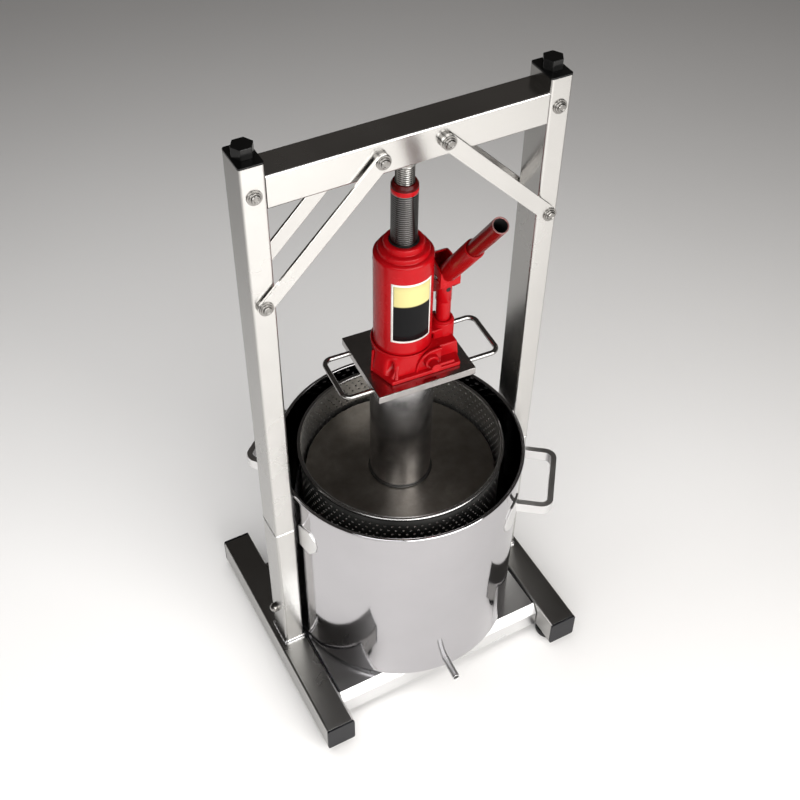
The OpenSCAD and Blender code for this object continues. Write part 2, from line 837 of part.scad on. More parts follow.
// one handle: a bent strap, a little askew, with two flared feet on the pot's wall
module pot_handle(turn, skew) {
  color("silver") rotate([0, 0, turn]) {
    difference() {
      translate([pot_r, 0, handle_low]) rotate([0, 0, skew]) linear_extrude(strap_h) difference() {
        translate([handle_out - handle_reach / 2, 0]) round_rect(handle_reach, 2 * handle_half, handle_r);
        translate([handle_out - handle_reach / 2 - strap_t, 0])
          round_rect(handle_reach, 2 * (handle_half - strap_t), handle_r - strap_t);
      }
      translate([0, 0, handle_low - over]) cylinder(r = pot_r + weld_gap + lug_t / 2, h = strap_h + 2 * over);
    }
    for (s = [-1, 1]) rotate([0, 0, s * leg_deg]) wall_lug(s, lug_l);
  }
}

module pot_handle_right() { pot_handle(right_handle_deg, right_skew_deg); }
module pot_handle_left() { pot_handle(left_handle_deg, 0); }

module pot_guide() { color("silver") rotate([0, 0, guide_deg]) wall_lug(1, guide_l); }

module drain_spout() {
  color("silver") rotate([0, 0, spout_deg]) translate([pot_r + weld_gap, 0, pot_z + spout_z])
    rotate([0, 90, 0])
    difference() {
    cylinder(d = spout_d, h = spout_l);
    translate([0, 0, -over]) cylinder(d = spout_bore, h = spout_l + 2 * over);
  }
}

module basket_wall() {
  wall_top = basket_top - rest_gap;
  pitch = (wall_top - hoop_h - basket_floor_z) / (hole_rows + 1);
  color("gray") difference() {
    translate([0, 0, basket_floor_z]) cylinder(r = basket_r, h = wall_top - basket_floor_z);
    translate([0, 0, basket_floor_z - over])
      cylinder(r = basket_in, h = wall_top - basket_floor_z + 2 * over);
    for (row = [1 : hole_rows], k = [0 : hole_n - 1]) {
      rotate([0, 0, (k + (row % 2) / 2) * 360 / hole_n])
        translate([basket_in - over, 0, basket_floor_z + row * pitch]) rotate([0, 90, 0])
        cylinder(d = hole_d, h = basket_wall_t + 2 * over);
    }
  }
}

module basket_hoop() {
  color("silver") translate([0, 0, basket_top - hoop_h]) difference() {
    cylinder(r = basket_r + weld_gap + hoop_t, h = hoop_h);
    translate([0, 0, -over]) cylinder(r = basket_r + weld_gap, h = hoop_h + 2 * over);
  }
}

module basket_floor() {
  floor_r = basket_in - weld_gap;
  color("gray") {
    translate([0, 0, basket_floor_z]) difference() {
      cylinder(r = floor_r, h = basket_wall_t);
      for (ring = [1 : floor_rings], k = [0 : hole_n * ring / floor_rings - 1]) {
        rotate([0, 0, k * 360 * floor_rings / (hole_n * ring)])
          translate([floor_r * ring / (floor_rings + 1), 0, -over])
            cylinder(d = hole_d, h = basket_wall_t + 2 * over);
      }
    }
    translate([0, 0, basket_z]) difference() {
      cylinder(r = ring_r, h = ring_h);
      translate([0, 0, -over]) cylinder(r = ring_r - 2 * basket_wall_t, h = ring_h + 2 * over);
    }
  }
}

module press_plate() {
  color("dimgray") translate([0, 0, press_z - press_t]) cylinder(r = press_r, h = press_t);
}

module press_pillar() {
  color("dimgray") translate([0, 0, press_z]) difference() {
    cylinder(d = pillar_d, h = pillar_l);
    translate([0, 0, -over]) cylinder(d = pillar_d - 2 * pillar_wall, h = pillar_l + 2 * over);
  }
}

module jack_plate() {
  color("darkgray") rotate([0, 0, tool_deg])
    translate([jplate_shift - jplate_l / 2, -jplate_d / 2, jplate_z - jplate_t])
    cube([jplate_l, jplate_d, jplate_t]);
}

// round-rod loop on a side edge of the jack plate
module loop_handle(side) {
  leg = loop_reach + (side > 0 ? loop_more : 0) - loop_r - loop_d / 2;
  color("silver") rotate([0, 0, tool_deg])
    translate([jplate_shift + side * jplate_l / 2, -loop_shift, jplate_z - jplate_t / 2])
      rotate([0, 0, side < 0 ? 180 : 0]) {
    for (s = [-1, 1]) {
      translate([0, s * loop_half, 0]) rotate([0, 90, 0]) cylinder(d = loop_d, h = leg);
      translate([leg, s * (loop_half - loop_r), 0]) rotate([0, 0, s < 0 ? -90 : 0])
        rotate_extrude(angle = 90) translate([loop_r, 0]) circle(d = loop_d);
    }
    translate([leg + loop_r, -(loop_half - loop_r), 0]) rotate([-90, 0, 0])
      cylinder(d = loop_d, h = 2 * (loop_half - loop_r));
  }
}

module loop_handle_left() { loop_handle(-1); }
module loop_handle_right() { loop_handle(1); }

// the jack's own frame: its axis, on the jack plate
module on_jack() {
  rotate([0, 0, tool_deg]) translate([0, 0, jplate_z]) children();
}

module jack_base() {
  rib_in = tower_r * 3 / 4;
  link_in = link_half - weld_gap;
  color("red") on_jack() difference() {
    union() {
      translate([base_shift, 0, 0]) linear_extrude(base_t) round_rect(base_l, base_d, tube_r);
      cylinder(r = tower_r, h = base_h);
      translate([pump_x, 0, 0]) cylinder(r = boss_r, h = boss_h);
      translate([tower_r / 2, -boss_r, 0])
        cube([pump_x - tower_r / 2, boss_r + fulcrum_y - link_w / 2 - weld_gap, base_h - base_t]);
      translate([pump_x - link_in, 0, 0]) cube([2 * link_in, fulcrum_y + link_w / 2, block_h]);
      translate([valve_x, 0, valve_z]) rod_y(valve_boss_r, -valve_boss_y, 0);
      for (a = [45 : 90 : 315]) {
        rotate([0, 0, a]) translate([0, rib_t / 2, 0]) rotate([90, 0, 0]) linear_extrude(rib_t)
          polygon([[rib_in, 0], [rib_reach, 0], [rib_reach, rib_low], [tower_r, base_h], [rib_in, base_h]]);
      }
    }
    translate([0, 0, base_h - bore_seat]) cylinder(r = piston_r + bore_wall + weld_gap, h = bore_seat + over);
    translate([pump_x, 0, boss_h - pump_seat]) cylinder(r = pump_r + weld_gap, h = pump_seat + over);
    translate([valve_x, 0, valve_z]) rod_y(valve_r + run_fit, -valve_boss_y - over, -valve_boss_y + valve_in);
  }
}

module jack_tank() {
  color("red") on_jack() translate([0, 0, base_h]) difference() {
    cylinder(r = tank_r, h = tank_h);
    translate([0, 0, -over]) cylinder(r = tank_r - tank_wall, h = tank_h + 2 * over);
    rotate([0, 0, filler_turn]) translate([tank_r - 2 * tank_wall, 0, filler_z]) rotate([0, 90, 0])
      cylinder(r = filler_r + weld_gap, h = 3 * tank_wall);
  }
}

module jack_top_nut() {
  step = tank_r - nut_r;
  color("red") on_jack() translate([0, 0, base_h + tank_h]) rotate_extrude()
    polygon(concat([[ram_r + run_fit, 0]],
                   [for (p = nut_step_shares) [tank_r - p[1] * step, p[0] * nut_top]],
                   [[ram_r + run_fit, nut_top]]));
}

module jack_cylinder() {
  color("gray") rotate([0, 0, tool_deg]) translate([0, 0, bore_z]) difference() {
    cylinder(r = piston_r + bore_wall, h = tank_top - bore_z);
    translate([0, 0, -over]) cylinder(r = piston_r, h = tank_top - bore_z + 2 * over);
  }
}

module filler_plug() {
  color("black") on_jack() translate([0, 0, base_h + filler_z]) rotate([0, 0, filler_turn])
    rotate([0, 90, 0]) {
    translate([0, 0, tank_r - tank_wall]) cylinder(r = filler_r, h = tank_wall + filler_head);
    translate([0, 0, tank_r + weld_gap]) cylinder(r = filler_r * 3 / 2, h = filler_head);
  }
}

module pump_cylinder() {
  color("red") on_jack() translate([pump_x, 0, boss_h - pump_seat]) difference() {
    union() {
      cylinder(r = pump_r, h = pump_seat);
      translate([0, 0, pump_seat]) cylinder(r = neck_r, h = neck_h);
      translate([0, 0, pump_seat + neck_h]) cylinder(r = pump_r, h = pump_h - boss_h - neck_h);
    }
    translate([0, 0, pump_seat / 4]) cylinder(r = plunger_r + run_fit, h = pump_h);
    translate([0, 0, pump_seat + neck_h + weep_d * 2]) rod_y(weep_d / 2, -pump_r - over, -pump_r + weep_d / 2);
  }
}

module fulcrum_links() {
  color("red") on_jack() for (s = [-1, 1]) {
    translate([pump_x + s * (link_half + link_t / 2) - link_t / 2, fulcrum_y, 0]) rotate([90, 0, 90])
      linear_extrude(link_t) difference() {
      union() {
        translate([-link_w / 2, base_t + weld_gap]) square([link_w, fulcrum_z - base_t - weld_gap]);
        translate([0, fulcrum_z]) circle(d = link_w);
      }
      translate([0, fulcrum_z]) circle(d = fulcrum_d + 2 * run_fit);
    }
  }
}

module fulcrum_pin() {
  pin_l = 2 * (link_half + link_t + plate_t);
  color("gainsboro") on_jack() translate([pump_x - pin_l / 2, fulcrum_y, fulcrum_z]) rotate([0, 90, 0])
    cylinder(d = fulcrum_d, h = pin_l);
}

module jack_ram() {
  color("dimgray") rotate([0, 0, tool_deg]) difference() {
    union() {
      translate([0, 0, piston_z]) cylinder(r = piston_r - run_fit, h = piston_h);
      translate([0, 0, piston_z]) cylinder(r = ram_r, h = ram_top - ram_chamfer - piston_z);
      translate([0, 0, ram_top - ram_chamfer])
        cylinder(r1 = ram_r, r2 = ram_r - ram_chamfer * 2 / 3, h = ram_chamfer);
    }
    translate([0, 0, screw_z - screw_out]) cylinder(r = screw_r + screw_fit, h = ram_top);
    translate([0, 0, piston_z + piston_h / 2 - seal_h / 2]) difference() {
      cylinder(r = piston_r + over, h = seal_h);
      translate([0, 0, -over]) cylinder(r = piston_r - seal_t, h = seal_h + 2 * over);
    }
  }
}

module ram_seal() {
  color("black") translate([0, 0, piston_z + piston_h / 2 - seal_h / 2 + weld_gap]) difference() {
    cylinder(r = piston_r - run_fit, h = seal_h - 2 * weld_gap);
    translate([0, 0, -over]) cylinder(r = piston_r - seal_t + weld_gap, h = seal_h + 2 * over);
  }
}

module extension_screw() {
  color("gainsboro") {
    translate([0, 0, screw_z]) cylinder(r = screw_r, h = screw_l + over);
    translate([0, 0, saddle_z]) cylinder(r1 = saddle_r * 7 / 8, r2 = saddle_r, h = saddle_h / 4);
    translate([0, 0, saddle_z + saddle_h / 4]) cylinder(r = saddle_r, h = saddle_h * 3 / 4);
  }
}

// the socket's frame: its axis points along +Z
module on_socket() {
  translate([pump_x, 0, socket_z]) rotate([90 - socket_tilt, 0, 0]) children();
}

// room for the plunger's pin while the yoke turns about the fulcrum
module pin_slot() {
  slot_d = pin_d + 2 * slot_fit;
  rise = pin_z - fulcrum_z;
  translate([fulcrum_y, fulcrum_z]) rotate(atan2(rise, -fulcrum_y)) {
    translate([fulcrum_y * 5 / 6, -slot_d / 2]) square([fulcrum_y * 3 / 4, slot_d]);
  }
}

module handle_socket() {
  web_y = -link_w;
  web_low = fulcrum_z * (1 + yoke_shares[0][1]);
  back = [for (i = [4 : 6]) yoke_shares[i]];
  back_in = [for (i = [6 : -1 : 4]) yoke_shares[i] * back_share];
  color("red") on_jack() difference() {
    union() {
      for (s = [-1, 1]) {
        translate([pump_x + s * (yoke_half + yoke_t / 2) - yoke_t / 2, 0, 0]) rotate([90, 0, 90])
          linear_extrude(yoke_t) difference() {
          polygon([for (p = yoke_shares) [fulcrum_y + p[0] * link_w, fulcrum_z * (1 + p[1])]]);
          translate([fulcrum_y, fulcrum_z]) circle(d = fulcrum_d + 2 * run_fit);
          pin_slot();
        }
      }
      translate([pump_x - yoke_half - yoke_t / 2, web_y, web_low])
        cube([2 * yoke_half + yoke_t, yoke_t, fulcrum_z + link_w - web_low]);
      translate([pump_x - yoke_half - yoke_t / 2, 0, 0]) rotate([90, 0, 90])
        linear_extrude(2 * yoke_half + yoke_t)
        polygon([for (p = concat(back, back_in)) [fulcrum_y + p[0] * link_w, fulcrum_z * (1 + p[1])]]);
      on_socket() translate([0, 0, socket_start]) cylinder(r = socket_r, h = socket_end - socket_start);
    }
    on_socket() translate([0, 0, socket_start + yoke_t]) cylinder(r = bar_r + bar_fit, h = socket_end);
  }
}

module handle_tube() {
  color("red") on_jack() on_socket() translate([0, 0, bar_start]) difference() {
    cylinder(r = bar_r, h = bar_end - bar_start);
    translate([0, 0, -over]) cylinder(r = bar_bore, h = bar_end - bar_start + 2 * over);
  }
}

module pump_plunger() {
  color("gainsboro") on_jack() difference() {
    translate([pump_x, 0, plunger_z]) cylinder(r = plunger_r, h = pin_z + plunger_over - plunger_z);
    translate([pump_x - yoke_half, 0, pin_z])
      rotate([0, 90, 0]) cylinder(d = pin_d + 2 * weld_gap, h = 2 * yoke_half);
  }
}

module plunger_pin() {
  pin_l = 2 * (yoke_half + yoke_t);
  color("gainsboro") on_jack() translate([pump_x - pin_l / 2, 0, pin_z]) rotate([0, 90, 0])
    cylinder(d = pin_d, h = pin_l);
}

module release_valve() {
  head_y = -valve_boss_y - rest_gap;
  color("red") on_jack() translate([valve_x, 0, valve_z]) {
    rod_y(valve_r, head_y - over, -valve_boss_y + valve_in - plate_t);
    rod_y(valve_head_r, head_y - valve_head_l, head_y);
    translate([0, head_y - valve_head_l / 2, 0]) rotate([0, 90, 0])
      cylinder(d = valve_pin_d, h = valve_pin_l);
  }
}

foot_tube_left();
foot_tube_right();
foot_end_caps();
rubber_feet();
foot_screws();
front_rail();
rear_rail();
base_plate();
base_bearers();
stub_post_left();
stub_post_right();
spigot_left();
spigot_right();
upright_left();
upright_right();
crossbeam();
beam_tongues();
top_plugs();
top_hex_heads();
beam_bolts();
hex_nuts();
washers();
brace_front_left();
brace_front_right();
brace_back_left();
brace_back_right();
brace_bolts();
brace_spacers();
cross_bolts();
cross_nuts();
pot_shell();
pot_handle_left();
pot_handle_right();
pot_guide();
drain_spout();
basket_wall();
basket_hoop();
basket_floor();
press_plate();
press_pillar();
jack_plate();
loop_handle_left();
loop_handle_right();
jack_base();
jack_tank();
jack_top_nut();
jack_cylinder();
filler_plug();
pump_cylinder();
fulcrum_links();
fulcrum_pin();
jack_ram();
ram_seal();
extension_screw();
handle_socket();
handle_tube();
pump_plunger();
plunger_pin();
release_valve();
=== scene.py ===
import math

import bpy
from mathutils import Matrix, Vector


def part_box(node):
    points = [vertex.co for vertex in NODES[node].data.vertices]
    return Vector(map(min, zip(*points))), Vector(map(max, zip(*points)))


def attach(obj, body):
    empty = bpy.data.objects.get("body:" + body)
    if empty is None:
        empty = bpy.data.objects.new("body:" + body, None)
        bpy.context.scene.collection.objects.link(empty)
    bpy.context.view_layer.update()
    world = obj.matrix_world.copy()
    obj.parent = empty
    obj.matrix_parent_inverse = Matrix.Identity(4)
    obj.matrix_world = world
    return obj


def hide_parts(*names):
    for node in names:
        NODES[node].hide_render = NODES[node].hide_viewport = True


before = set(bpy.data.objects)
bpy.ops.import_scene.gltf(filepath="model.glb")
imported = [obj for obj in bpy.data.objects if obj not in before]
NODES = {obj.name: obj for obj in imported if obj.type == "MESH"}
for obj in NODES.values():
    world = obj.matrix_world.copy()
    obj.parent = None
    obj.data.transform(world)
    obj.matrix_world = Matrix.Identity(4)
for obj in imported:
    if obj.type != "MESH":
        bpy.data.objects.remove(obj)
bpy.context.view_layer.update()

MM = 0.001
UP = (0, 0, 1)
CENTRE = (0, 0, 0)

# colour sockets of the Mix node
MIX_A = 6
MIX_B = 7
MIX_RESULT = 2

# camera, fitted to the photograph's 800 by 800 frame
CAMERA_PLACE = Vector((-479.5, -863.5, 1431.2)) * MM
CAMERA_YAW = math.radians(28.96)
CAMERA_PITCH = math.radians(45.75)
CAMERA_ROLL = math.radians(0.91)
CAMERA_LENS = 53.71
SENSOR = 36.0

# the press tool is turned a little in the frame
TOOL_TURN = math.radians(-3.6)
PUMP_X = 50.0

# perforated basket
HOLE_R = 1.6
HOLE_PITCH = 8.9
ROW_PITCH = 7.1
HOLE_SIDES = 8
BASKET_T = 1.5
HOOP_BEAD_R = 2.7
HOOP_BEAD_INSET = 1.4
HOOP_BEAD_PROUD = 0.3

# ram and screw
RAM_R = 14.4
RAM_GROOVE_PITCH = 2.6
RAM_GROOVE = 0.6
RAM_CHAMFER = 3.0
RAM_BAND = 12.0
RAM_RED = 5.5
RAM_SIDES = 72
PISTON_H = 12.0
GROOVES_BELOW_NUT = 62.0
SCREW_R = 10.2
SCREW_PITCH = 2.5
SCREW_SIDES = 40
ROWS_PER_PITCH = 8
THREAD_DEPTH = 1.1
THREAD_FLAT = 0.15
THREAD_FLANK = 0.35
SADDLE_R = 12.5
SADDLE_H = 5.0

# frame bolts, places of their axes and profile of the head from its top to the washer
BOLT_X = 167.0
BOLT_TOP = 778.0
BRACE_X = 36.0
BRACE_LOW = 647.0
BOLT_R = 4.0
BOLT_HEAD = 5.0
BOLT_CHAMFER = 0.8
BOLT_SIDES = 32
BOLT_PROFILE = [(2.3, -3.1), (2.9, -3.6), (4.0, -3.6), (4.7, -3.0), (4.9, -1.3), (5.9, -1.1), (6.3, -0.7),
                (6.3, 0.0), (BOLT_R, 0.0)]

# dark strips as painted shade in the gaps between the base plate and the feet
GAP_SHADE_R = 1.3
GAP_SHADE_STEP = 20.0
GAP_SHADE_FRONT = 10.0
GAP_SHADE_SHORT = 40.0

# label on the oil tank
LABEL_LOW = 48.0
LABEL_HIGH = 130.0
LABEL_START = math.radians(-138)
LABEL_END = math.radians(-52)
LABEL_PROUD = 0.15
LABEL_SPLIT = 100.0
LABEL_BORDER = 2.6
LABEL_FIELD_PROUD = 0.1
LABEL_T = 0.12
LABEL_COLUMNS = 28
LABEL_ROWS = 8

# jack casting, heights above the jack plate
TANK_FOOT = 28.0
TANK_R = 33.0
BOSS_TOP = 38.0
NECK_R = 8.2
HEAD_LOW = 67.0
HEAD_TOP = 92.0
HEAD_R = 9.2
VALVE_X = 18.0
VALVE_Z = 17.0
SEAT_R = 36.0
FLANGE_LOW = 0.05
FLANGE_TOP = 5.6
CASTING_LOW = 0.3
CASTING_SIDES = 120
CASTING_LEVELS = (CASTING_LOW, 4.0, 7.0, 10.0, 13.0, 16.0, 19.0, 22.0, 24.0, 26.0, 27.3, TANK_FOOT)
CASTING_CURVE = 1.3
SLOPE_LOW = 3.0
SLOPE_H = 25.0
HOLLOW_AT = 227.0
HOLLOW_WIDTH = 5.0
HOLLOW_DEPTH = 10.0
HOLLOW_REACH = 1.15
FIN_AT = math.radians(237.6)
FIN_HALF = 2.0
FLANGE_OUTLINE = [(-42.5, -11.0), (-31.5, -42.8), (53.0, -42.8), (61.0, -4.0), (61.0, 14.0),
                  (50.0, 30.0), (30.0, 38.0), (0.0, 38.0), (-20.0, 30.0), (-31.0, 16.0),
                  (-35.5, 2.0)]
BODY_OUTLINE = [(-42.3, -11.0), (-31.0, -41.0), (-26.0, -37.0), (20.0, -37.0), (36.0, -26.0), (36.0, 20.0),
                (20.0, 36.0), (0.0, 36.0), (-19.0, 29.0), (-30.0, 16.0), (-35.0, 2.0)]
ARCH = [(1.0, 3.0), (1.5, 9.0), (2.7, 15.0), (4.8, 20.0), (8.3, 24.4), (12.5, 27.4), (17.0, 29.2),
        (22.0, 30.0), (27.0, 30.2), (31.0, 30.2)]
ARCH_FOOT = 0.4
ARCH_FRONT = -37.3
ARCH_BACK = -18.0

# pump yoke, handle socket and handle tube, with distances from the fulcrum towards the plunger's pin
FULCRUM = (18.0, 95.0)
FULCRUM_R = 3.55
FULCRUM_SIDES = 16
YOKE_HALF = 9.8
YOKE_T = 2.4
YOKE_FRONT = -15.0
YOKE_NOSE = 35.4
YOKE_BACK = -13.2
PIN_SLOT = (15.0, 28.5)
PIN_SLOT_HALF = 3.6
SOCKET_Z = 100.0
SOCKET_TILT = math.radians(53)
TUBE_R = 8.8
TUBE_BORE = 7.2
TUBE_END = 180.0
# depth of the dark sleeve of painted shade in the handle tube's bore
TUBE_SHADE_DEPTH = 60.0

# studio
WORLD_TONE = (0.048, 0.044, 0.041, 1)
KEY_TONE = (1.0, 0.985, 0.965)
FLOOR_HALF = 9.0

# body, material and slot of the red pieces of the jack
RED_PART = ("press_tool", "red", "red_paint")


# node helpers

def new_material(name):
    material = bpy.data.materials.new(name)
    material.use_nodes = True
    tree = material.node_tree
    return material, tree, tree.nodes["Principled BSDF"]


def set_values(shader, **values):
    for key, value in values.items():
        shader.inputs[key.replace("_", " ")].default_value = value


def object_coords(tree, scale=(1, 1, 1), turn=(0, 0, 0)):
    coords = tree.nodes.new("ShaderNodeTexCoord")
    mapping = tree.nodes.new("ShaderNodeMapping")
    mapping.inputs["Scale"].default_value = scale
    mapping.inputs["Rotation"].default_value = turn
    tree.links.new(coords.outputs["Object"], mapping.inputs["Vector"])
    return mapping.outputs["Vector"]


def noise(tree, vector, scale=1.0, detail=4.0, roughness=0.55):
    node = tree.nodes.new("ShaderNodeTexNoise")
    node.inputs["Scale"].default_value = scale
    node.inputs["Detail"].default_value = detail
    node.inputs["Roughness"].default_value = roughness
    tree.links.new(vector, node.inputs["Vector"])
    return node.outputs["Fac"]


def ramp(tree, factor, stops):
    node = tree.nodes.new("ShaderNodeValToRGB")
    elements = node.color_ramp.elements
    while len(elements) < len(stops):
        elements.new(0.5)
    for element, (place, colour) in zip(elements, stops):
        element.position = place
        element.color = (*colour, 1)
    tree.links.new(factor, node.inputs["Fac"])
    return node.outputs["Color"]


def spread(tree, factor, low, high, start=0.3, end=0.7):
    node = tree.nodes.new("ShaderNodeMapRange")
    node.inputs["From Min"].default_value = start
    node.inputs["From Max"].default_value = end
    node.inputs["To Min"].default_value = low
    node.inputs["To Max"].default_value = high
    tree.links.new(factor, node.inputs["Value"])
    return node.outputs["Result"]


def bump(tree, shader, height, strength, distance):
    node = tree.nodes.new("ShaderNodeBump")
    node.inputs["Strength"].default_value = strength
    node.inputs["Distance"].default_value = distance
    tree.links.new(height, node.inputs["Height"])
    tree.links.new(node.outputs["Normal"], shader.inputs["Normal"])


def tones(colour, change):
    return tuple(c * change for c in colour)


# materials

def painted_side_shade(tree, tone, shade):
    """Painted shade: the tone darkened by the factor shade on faces turned towards X, most where they face X
    squarely.
    """
    split = tree.nodes.new("ShaderNodeSeparateXYZ")
    tree.links.new(tree.nodes.new("ShaderNodeTexCoord").outputs["Normal"], split.inputs[0])
    amount = tree.nodes.new("ShaderNodeMath")
    amount.operation = "ABSOLUTE"
    tree.links.new(split.outputs["X"], amount.inputs[0])
    mix = tree.nodes.new("ShaderNodeMix")
    mix.data_type = "RGBA"
    mix.blend_type = "MULTIPLY"
    tree.links.new(amount.outputs[0], mix.inputs["Factor"])
    tree.links.new(tone, mix.inputs[MIX_A])
    mix.inputs[MIX_B].default_value = (shade, shade, shade, 1)
    return mix.outputs[MIX_RESULT]


def brushed(name, colour, rough, grain, turn=(0, 0, 0), sides=None):
    """Metal with fine brush lines along one axis and soft blotches, with painted shade on its side faces
    where asked.
    """
    material, tree, shader = new_material(name)
    lines = noise(tree, object_coords(tree, grain, turn), 1.0, 3.0, 0.6)
    cloud = noise(tree, object_coords(tree), 9.0, 5.0)
    tone = ramp(tree, cloud, [(0.3, tones(colour, 0.93)), (0.7, tones(colour, 1.03))])
    if sides:
        tone = painted_side_shade(tree, tone, sides)
    tree.links.new(tone, shader.inputs["Base Color"])
    tree.links.new(spread(tree, cloud, rough[0], rough[1]), shader.inputs["Roughness"])
    bump(tree, shader, lines, 0.06, 0.0001)
    set_values(shader, Metallic=1.0)
    return material


def grain_along(axis):
    """Noise scale of brush lines that run along one axis."""
    return tuple(9.0 if i == axis else 1400.0 for i in range(3))


def polished(name, colour, rough, inside=None):
    """Mirror-bright sheet with faint rings from polishing, and painted shade that darkens it within the
    radius inside.
    """
    material, tree, shader = new_material(name)
    rings = noise(tree, object_coords(tree, (6, 6, 900)), 1.0, 2.0)
    waves = noise(tree, object_coords(tree, (5, 5, 3)), 1.0, 2.0)
    smear = noise(tree, object_coords(tree), 14.0, 6.0, 0.65)
    tone = ramp(tree, smear, [(0.3, tones(colour, 0.95)), (0.7, colour)])
    # painted shade: the base colour falls to 0.3 of itself within the radius inside
    if inside:
        coords = tree.nodes.new("ShaderNodeTexCoord")
        flat = tree.nodes.new("ShaderNodeVectorMath")
        flat.operation = "MULTIPLY"
        flat.inputs[1].default_value = (1, 1, 0)
        reach = tree.nodes.new("ShaderNodeVectorMath")
        reach.operation = "LENGTH"
        tree.links.new(coords.outputs["Object"], flat.inputs[0])
        tree.links.new(flat.outputs["Vector"], reach.inputs[0])
        outer = spread(tree, reach.outputs["Value"], 0.0, 1.0, inside - 0.0002, inside + 0.0002)
        blend = tree.nodes.new("ShaderNodeMix")
        blend.data_type = "RGBA"
        blend.inputs[MIX_A].default_value = (*tones(colour, 0.3), 1)
        tree.links.new(outer, blend.inputs["Factor"])
        tree.links.new(tone, blend.inputs[MIX_B])
        tone = blend.outputs[MIX_RESULT]
    tree.links.new(tone, shader.inputs["Base Color"])
    tree.links.new(spread(tree, smear, rough[0], rough[1]), shader.inputs["Roughness"])
    height = tree.nodes.new("ShaderNodeMath")
    height.operation = "MULTIPLY_ADD"
    height.inputs[1].default_value = 0.02
    tree.links.new(rings, height.inputs[0])
    tree.links.new(waves, height.inputs[2])
    bump(tree, shader, height.outputs["Value"], 0.25, 0.0006)
    set_values(shader, Metallic=1.0)
    return material


def scuffed(name, colour, rough, grain):
    """Dull dark steel with mottled scale and scratches."""
    material, tree, shader = new_material(name)
    scale = noise(tree, object_coords(tree), 38.0, 8.0, 0.7)
    lines = noise(tree, object_coords(tree, grain), 1.0, 4.0, 0.6)
    tone = ramp(tree, scale, [(0.28, tones(colour, 0.75)), (0.55, colour), (0.8, tones(colour, 1.35))])
    tree.links.new(tone, shader.inputs["Base Color"])
    tree.links.new(spread(tree, scale, rough[0], rough[1]), shader.inputs["Roughness"])
    bump(tree, shader, lines, 0.2, 0.0002)
    set_values(shader, Metallic=1.0)
    return material


def paint(name, colour):
    """Glossy enamel with orange peel and thin spots."""
    material, tree, shader = new_material(name)
    peel = noise(tree, object_coords(tree), 420.0, 2.0)
    cloud = noise(tree, object_coords(tree), 26.0, 5.0)
    tone = ramp(tree, cloud, [(0.3, tones(colour, 0.92)), (0.7, tones(colour, 1.04))])
    tree.links.new(tone, shader.inputs["Base Color"])
    tree.links.new(spread(tree, cloud, 0.2, 0.3), shader.inputs["Roughness"])
    bump(tree, shader, peel, 0.12, 0.0004)
    set_values(shader, Specular_IOR_Level=0.17)
    return material


def moulded(name, colour, rough, grain):
    """Black moulded plastic or rubber with a fine grain."""
    material, tree, shader = new_material(name)
    fine = noise(tree, object_coords(tree), grain, 3.0)
    dust = noise(tree, object_coords(tree), 30.0, 6.0, 0.6)
    tone = ramp(tree, dust, [(0.35, colour), (0.8, tones(colour, 1.9))])
    tree.links.new(tone, shader.inputs["Base Color"])
    tree.links.new(spread(tree, dust, rough[0], rough[1]), shader.inputs["Roughness"])
    bump(tree, shader, fine, 0.2, 0.0002)
    set_values(shader, Specular_IOR_Level=0.3)
    return material


def label_print(name):
    """Bare printed sheet: cream upper field, black lower field."""
    material, tree, shader = new_material(name)
    plate_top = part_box("jack_plate")[1].z
    low = plate_top + LABEL_LOW * MM
    split = plate_top + LABEL_SPLIT * MM
    coords = tree.nodes.new("ShaderNodeTexCoord")
    parts = tree.nodes.new("ShaderNodeSeparateXYZ")
    tree.links.new(coords.outputs["Object"], parts.inputs["Vector"])
    fibre = noise(tree, object_coords(tree), 900.0, 2.0)
    field = spread(tree, parts.outputs["Z"], 0.0, 1.0, low, split * 2 - low)
    tone = ramp(tree, field, [(0.49, (0.006, 0.006, 0.0065)), (0.505, (0.60, 0.53, 0.235))])
    tree.links.new(tone, shader.inputs["Base Color"])
    tree.links.new(spread(tree, fibre, 0.3, 0.4), shader.inputs["Roughness"])
    bump(tree, shader, fibre, 0.05, 0.0001)
    set_values(shader, Specular_IOR_Level=0.08)
    return material


